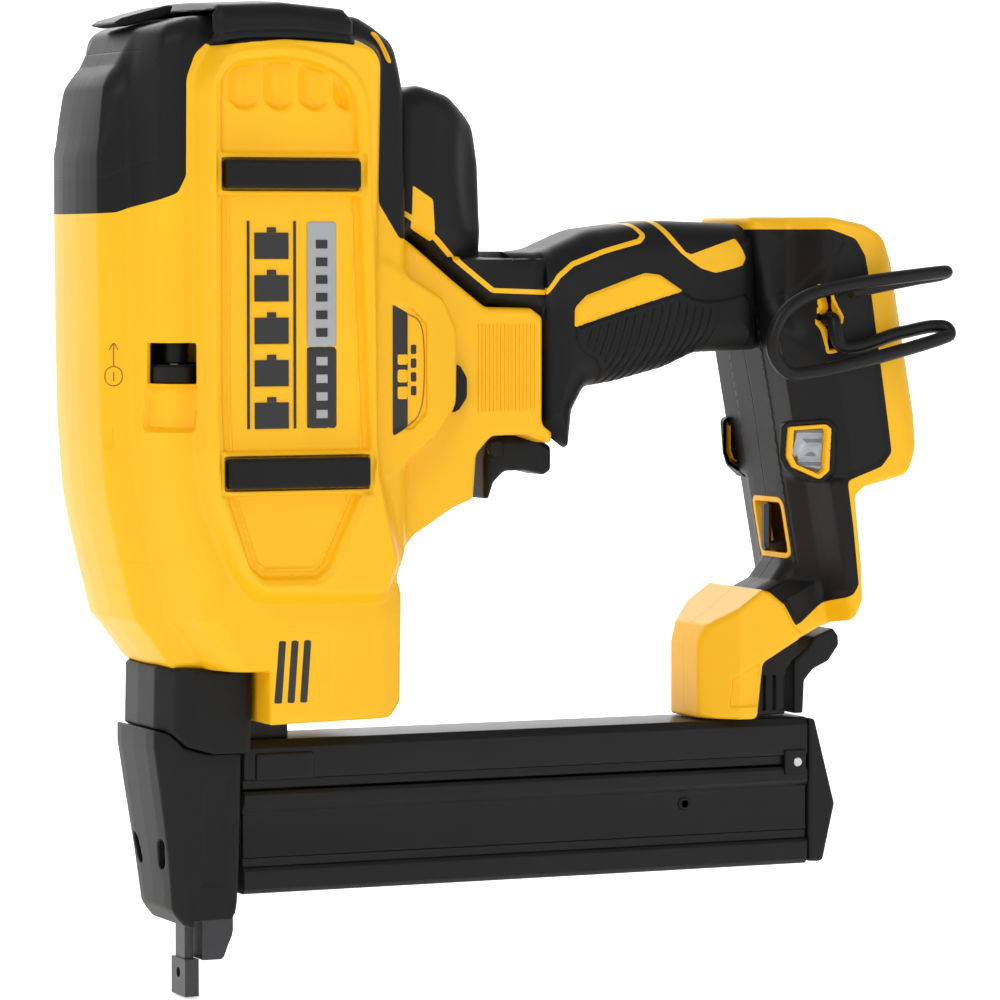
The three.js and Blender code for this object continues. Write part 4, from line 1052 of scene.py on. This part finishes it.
def make_fittings():
    solid("top_strap", strap, (-8.5, -44.5, 289), (41, 44.5, 305.5), 0.6, RUBBER, stands_for=["top_bumper"])
    for row, (x0, x1, z0, z1) in BUMPERS.items():
        for side, name in SIDES:
            y0, y1 = sorted((side * 41.5, side * 46.9))
            shape = brick(x0 + 0.3, x1 - 0.3, y0, y1, z0 + 0.3, z1 - 0.3, 1.0)
            low, high = (x0 - 1, y0 - 1, z0 - 1), (x1 + 1, y1 + 1, z1 + 1)
            solid(f"bumper_{row}_{name}", shape, low, high, 0.4, RUBBER,
                  stands_for=[f"side_bumper_{row}_{name}"])
    plate("jam_lever", LEVER, 11, 0.6, BLACK, "stall_lever", ["stall_lever"], 0.4)
    solid("finger_trigger", finger_trigger, (95, -9, 149.5), (124, 9, 172), 0.4, BLACK, "trigger",
          ["trigger"])
    plate("lock_button", LOCK, 23.3, 1.0, BLACK, "trigger_lock", ["trigger_lock"], 0.4)
    wire("belt_hook_wire", HOOK, 2.15, METAL_BLACK, ["belt_hook"])


make_fittings()


# ---------- labels, ribs and window parts
BOSS_BLACK = rounded([(54.1, 212.3, 0.3), (60.1, 209.6, 0.3), (60.1, 175.0, 0.3), (54.1, 172.4, 0.3)])
# Where a line of painted shade runs along the boss floor's edge.
BOSS_SHADE_LINE = [(60.3, 209.4), (64.2, 207.6), (66.0, 204.2), (66.0, 182.6), (63.8, 177.6), (60.3, 175.2)]
STRIP = (23.1, 32.8, 175.3, 237.4)       # X range, Z range
STRIP_SPLIT = 199.8                      # Z where its lower, black part ends
MARK = (4.0, 19.8, 175.3, 237.6)         # X range, Z range
LABEL_FACE = 42.0                        # half width where the panel labels lie
STICKER_REACH = 25                       # stickers lie on skin farther out than this


def sticker(name, outline, material, lift=0.12):
    """A thin sheet that follows the body's skin, cut to an outline."""
    x, y, z = BODY_SKIN[0].T
    points, triangles, normals = clip(BODY_SKIN, np.maximum(flat(outline, x, z), STICKER_REACH - np.abs(y)))
    pair(name, (points + lift * normals, triangles, normals), material, (), 0.3, 0.05)


def drape(points, lift):
    """X-Z points put on the body's skin."""
    skin = BODY_SKIN[0]
    out = []
    for x, z in points:
        gap = np.hypot(skin[:, 0] - x, skin[:, 2] - z)
        near = gap < 1.2
        best = np.argmin(np.where(near, gap + 0.2 * skin[:, 1], 99))
        out.append((x, skin[best, 1] - lift, z))
    return out


def bars(name, boxes, material):
    """Many small boxes with slanted edges, as one piece; each gives X, inner and outer Y, Z."""
    points, faces = [], []
    for x0, x1, y_in, y_out, z0, z1 in boxes:
        start = len(points)
        ease = min(0.15, 0.25 * min(x1 - x0, z1 - z0))
        for y, inset in ((y_in, 0), (y_out, ease)):
            a, b, c, d = x0 + inset, x1 - inset, z0 + inset, z1 - inset
            points += [(a, y, c), (b, y, c), (b, y, d), (a, y, d)]
        quads = [(0, 3, 2, 1), (4, 5, 6, 7), (0, 1, 5, 4), (1, 2, 6, 5), (2, 3, 7, 6), (3, 0, 4, 7)]
        for quad in quads:
            face = tuple(start + k for k in quad)
            faces.append(face if y_out < y_in else face[::-1])
    piece(name, points, faces, material)


def bars_on_sides(name, shapes, inner, outer, material):
    """Bars on both sides between two half widths; shapes hold X and Z ranges."""
    for side, where in SIDES:
        boxes = [(a, b, side * inner, side * outer, c, d) for a, b, c, d in shapes]
        bars(f"{name}_{where}", boxes, material)


def wire_on_sides(name, line, radius, material):
    """A thin wire on the left side and its mirror image."""
    for side, where in SIDES:
        wire(f"{name}_{where}", [(x, -side * y, z) for x, y, z in line], radius, material, (), 90, 8)


def label_plate(name, x0, x1, z0, z1, material):
    half = 0.45
    middle = LABEL_FACE - half + 0.2
    for side, where in SIDES:
        plate(f"{name}_{where}", oblong(x0, x1, z0, z1, 1.2), half, 0.1, material, size=0.5,
              middle=side * middle)


def make_labels():
    x0, x1, z0, z1 = STRIP
    label_plate("strip_grey", x0, x1, STRIP_SPLIT, z1, LABEL_GREY)
    label_plate("strip_black", x0, x1, z0, STRIP_SPLIT - 0.1, PRINT_AND_SHADE_BLACK)
    face = LABEL_FACE + 0.25
    low, high, bottom, top = MARK
    shapes = [(low, low + 0.9, bottom, top), (high - 0.9, high, bottom, top)]
    for k in range(5):
        foot_z = bottom + 12.7 * k
        shapes.append((low + 2.4, high - 2.4, foot_z, foot_z + 8.0))
        shapes.append((low + 6.4, high - 6.4, foot_z + 8.0, foot_z + 9.6))
    bars_on_sides("panel_graphic", shapes, face - 0.6, face, PRINT_AND_SHADE_BLACK)
    for name, start, count, material in (("dark", STRIP_SPLIT + 3, 6, PRINT_AND_SHADE_BLACK),
                                         ("pale", z0 + 3, 4, LABEL_GREY)):
        rows = [(x0 + 3, x1 - 3, start + 5.3 * k, start + 5.3 * k + 2.6) for k in range(count)]
        bars_on_sides("strip_marks_" + name, rows, face, face + 0.25, material)
    sticker("boss_label", BOSS_BLACK, PRINT_AND_SHADE_BLACK)
    for k, (low, high) in enumerate(((183.5, 187.2), (188.6, 192.4), (194, 197))):
        sticker(f"boss_mark_{k}", oblong(56, 60, low, high, 0.3), YELLOW, 0.2)
    for k in range(4):
        low = 184.5 + 4.2 * k
        sticker(f"boss_small_mark_{k}", oblong(61.6, 63.6, low, low + 2.8), PRINT_AND_SHADE_BLACK)
    # A thin dark yellow wire of painted shade along the boss floor's edge.
    wire_on_sides("boss_outline", drape(BOSS_SHADE_LINE, 0.02), 0.2, SHADE_YELLOW)
    for k in range(3):
        x = 15 + 4.1 * k
        outline = rounded([(x, 92.2, 0.3), (x + 2.2, 92.2, 0.3), (x + 3.6, 111, 0.3), (x + 1.4, 111, 0.3)])
        sticker(f"shroud_mark_{k}", outline, PRINT_AND_SHADE_BLACK, 0.1)


def make_ribs():
    """Fine upright ribs on the neck, in front of the grip."""
    starts = [88.9 + 1.27 * k for k in range(16)]
    shapes = [(x, x + 0.62, 178.6 + 0.04 * k, 206.0) for k, x in enumerate(starts)]
    bars_on_sides("neck_ribs", shapes, 19.4, 20.35, YELLOW)


WHEEL = (-13.5, -27.5)                   # X and Y of the depth wheel's axis
ICON_X = -30.9


def make_wheel_window():
    """The depth wheel, what shows behind it, and the engraved icon in front of it, whose lines are thin
    dark yellow wires of painted shade.
    """
    disc("depth_thumbwheel", "z", WHEEL, 7.3, 188.75, 194.6, BLACK, "depth_wheel", ["depth_wheel"], 0.7, 64)
    disc("depth_sleeve", "z", WHEEL, 3.4, 194.9, 202.5, BLACK, "contact_arm", (), 0.4, 48)
    solid("wheel_wall", brick(-6.4, 0, -19.9, -14, 194.9, 204, 0.6), (-8, -21, 194), (1, -13, 205), 0.5,
          YELLOW)
    solid("wheel_back", brick(-27, 2, -18, -16.5, 186, 204, 0.4), (-28, -19, 185), (3, -15.5, 205), 0.6,
          BLACK)
    turns = np.linspace(0, 2 * math.pi, 13)
    icon = {
        "ring": [(ICON_X + 2.6 * math.cos(t), 191.1 + 2.9 * math.sin(t)) for t in turns],
        "stem": [(ICON_X, 194.2), (ICON_X, 197), (ICON_X, 200.6)],
        "barb": [(-32.2, 199.0), (ICON_X, 200.9), (-29.6, 199.0)],
        "dot": [(ICON_X, 189.6), (ICON_X, 191), (ICON_X, 192.4)],
    }
    # Painted shade: the icon's engraved lines are drawn as dark yellow wires.
    for name, points in icon.items():
        wire("depth_icon_" + name, drape(points, 0.0), 0.17, SHADE_YELLOW, (), 60, 6)


VENT = [
    (47.2, 294.4), (48.6, 294.0), (51.6, 289.3), (53.3, 285.8), (52.2, 286.4), (49.4, 291.4), (47.2, 294.4)]


def make_top_vent():
    """The slanted slot on the rear of the cap, with a yellow edge; its inside is a dark yellow sheet of
    painted shade.
    """
    # Painted shade: a dark yellow sheet stands for the shade inside the slot.
    sticker("cap_vent_floor", rounded([(x, z, 0.2) for x, z in VENT[:-1]]), SHADE_YELLOW, 0.15)
    wire_on_sides("cap_vent_rim", drape(VENT, 0.15), 0.42, YELLOW)


def make_trigger_pin():
    for side, name in SIDES:
        disc("trigger_pin_cap_" + name, "y", (100, 166.5), 2.7, *sorted((side * 8.05, side * 9.4)), BLACK)


make_labels()
make_ribs()
make_top_vent()
make_trigger_pin()
make_wheel_window()


# ---------- carried-over CAD pieces
LOOKS = {
    STEEL: ["staple_rail", "pusher", "depth_rod", "contact_spring", "trigger_pin", "return_rod_left",
            "return_rod_right", "return_spring_left", "return_spring_right", "motor_shaft", "driver",
            "flywheel", "pinch_roller"],
    DARK_STEEL: ["nosepiece", "nose_screw_left", "nose_screw_right", "contact_arm", "hex_key",
                 "contact_foot"],
    BLACK: ["trigger_switch", "battery_dock"],
    COPPER: ["terminal_block", "stator", "solenoid"],
    ALLOY: ["drive_frame", "activation_arm"],
    BOARD: ["controller"],
}
for look, names in LOOKS.items():
    for name in names:
        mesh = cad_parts[name].data
        mesh.materials.clear()
        mesh.materials.append(look)


# ---------- floor, light and camera
def stage():
    """A pale floor that curves up into a wall behind the tool."""
    mesh = bpy.data.meshes.new("floor")
    half, front, bend, radius, high = 8, -6, 2.5, 1.5, 6
    profile = [(front, 0)]
    for k in range(25):
        angle = k / 24 * math.pi / 2
        profile.append((bend + radius * math.sin(angle), radius * (1 - math.cos(angle))))
    profile.append((bend + radius, high))
    points = [(x, y, z) for y, z in profile for x in (-half, half)]
    strips = [(k, k + 1, k + 3, k + 2) for k in range(0, len(points) - 2, 2)]
    mesh.from_pydata(points, [], strips)
    mesh.polygons.foreach_set("use_smooth", [True] * len(mesh.polygons))
    pale = moulded("pale_floor", (0.93, 0.93, 0.93), 0.8, 4.0, 0.01, spread=0.01)
    glow = pale.node_tree.nodes["Principled BSDF"].inputs
    glow["Emission Color"].default_value = (1, 1, 1, 1)
    glow["Emission Strength"].default_value = 0.5
    mesh.materials.append(pale)
    floor = bpy.data.objects.new("floor", mesh)
    bpy.context.scene.collection.objects.link(floor)
    floor.location.z = CAD_BOX[0][2] - 0.0005


def area_light(name, place, aim, size, power, colour=(1, 1, 1)):
    light = bpy.data.lights.new(name, "AREA")
    light.shape = "RECTANGLE"
    light.size, light.size_y = size
    light.energy = power
    light.color = colour
    lamp = bpy.data.objects.new(name, light)
    bpy.context.scene.collection.objects.link(lamp)
    lamp.location = place
    lamp.rotation_euler = (Vector(aim) - Vector(place)).to_track_quat("-Z", "Y").to_euler()


def lights():
    world = bpy.data.worlds.new("studio")
    bpy.context.scene.world = world
    world.use_nodes = True
    sky = world.node_tree.nodes["Background"].inputs
    sky["Color"].default_value = (1, 1, 1, 1)
    sky["Strength"].default_value = 0.5
    middle = (0.1, 0, 0.16)
    area_light("key", (-0.7, -1.0, 1.1), middle, (0.5, 0.8), 5.5)
    area_light("fill", (0.9, -1.2, 0.5), middle, (0.8, 0.8), 2)
    area_light("rim", (0.2, 1.0, 0.9), middle, (1.0, 0.5), 4)
    area_light("front_strip", (-1.1, -0.2, 0.35), middle, (0.15, 0.9), 0.5)
    area_light("wall_wash", (0.8, 1.6, 2.2), (0.8, 3.6, 0.8), (3, 2), 60)


def camera():
    data = bpy.data.cameras.new("camera")
    data.lens = 180
    data.sensor_width = 36
    data.clip_start = 0.05
    view = bpy.data.objects.new("camera", data)
    bpy.context.scene.collection.objects.link(view)
    view.location = (-0.5345, -1.4370, 0.2298)
    aim = Vector((0.105345, 0, 0.150157))
    view.rotation_euler = (aim - view.location).to_track_quat("-Z", "Y").to_euler()
    bpy.context.scene.camera = view


stage()
lights()
camera()
bpy.context.scene.view_settings.view_transform = "Standard"
bpy.context.view_layer.update()
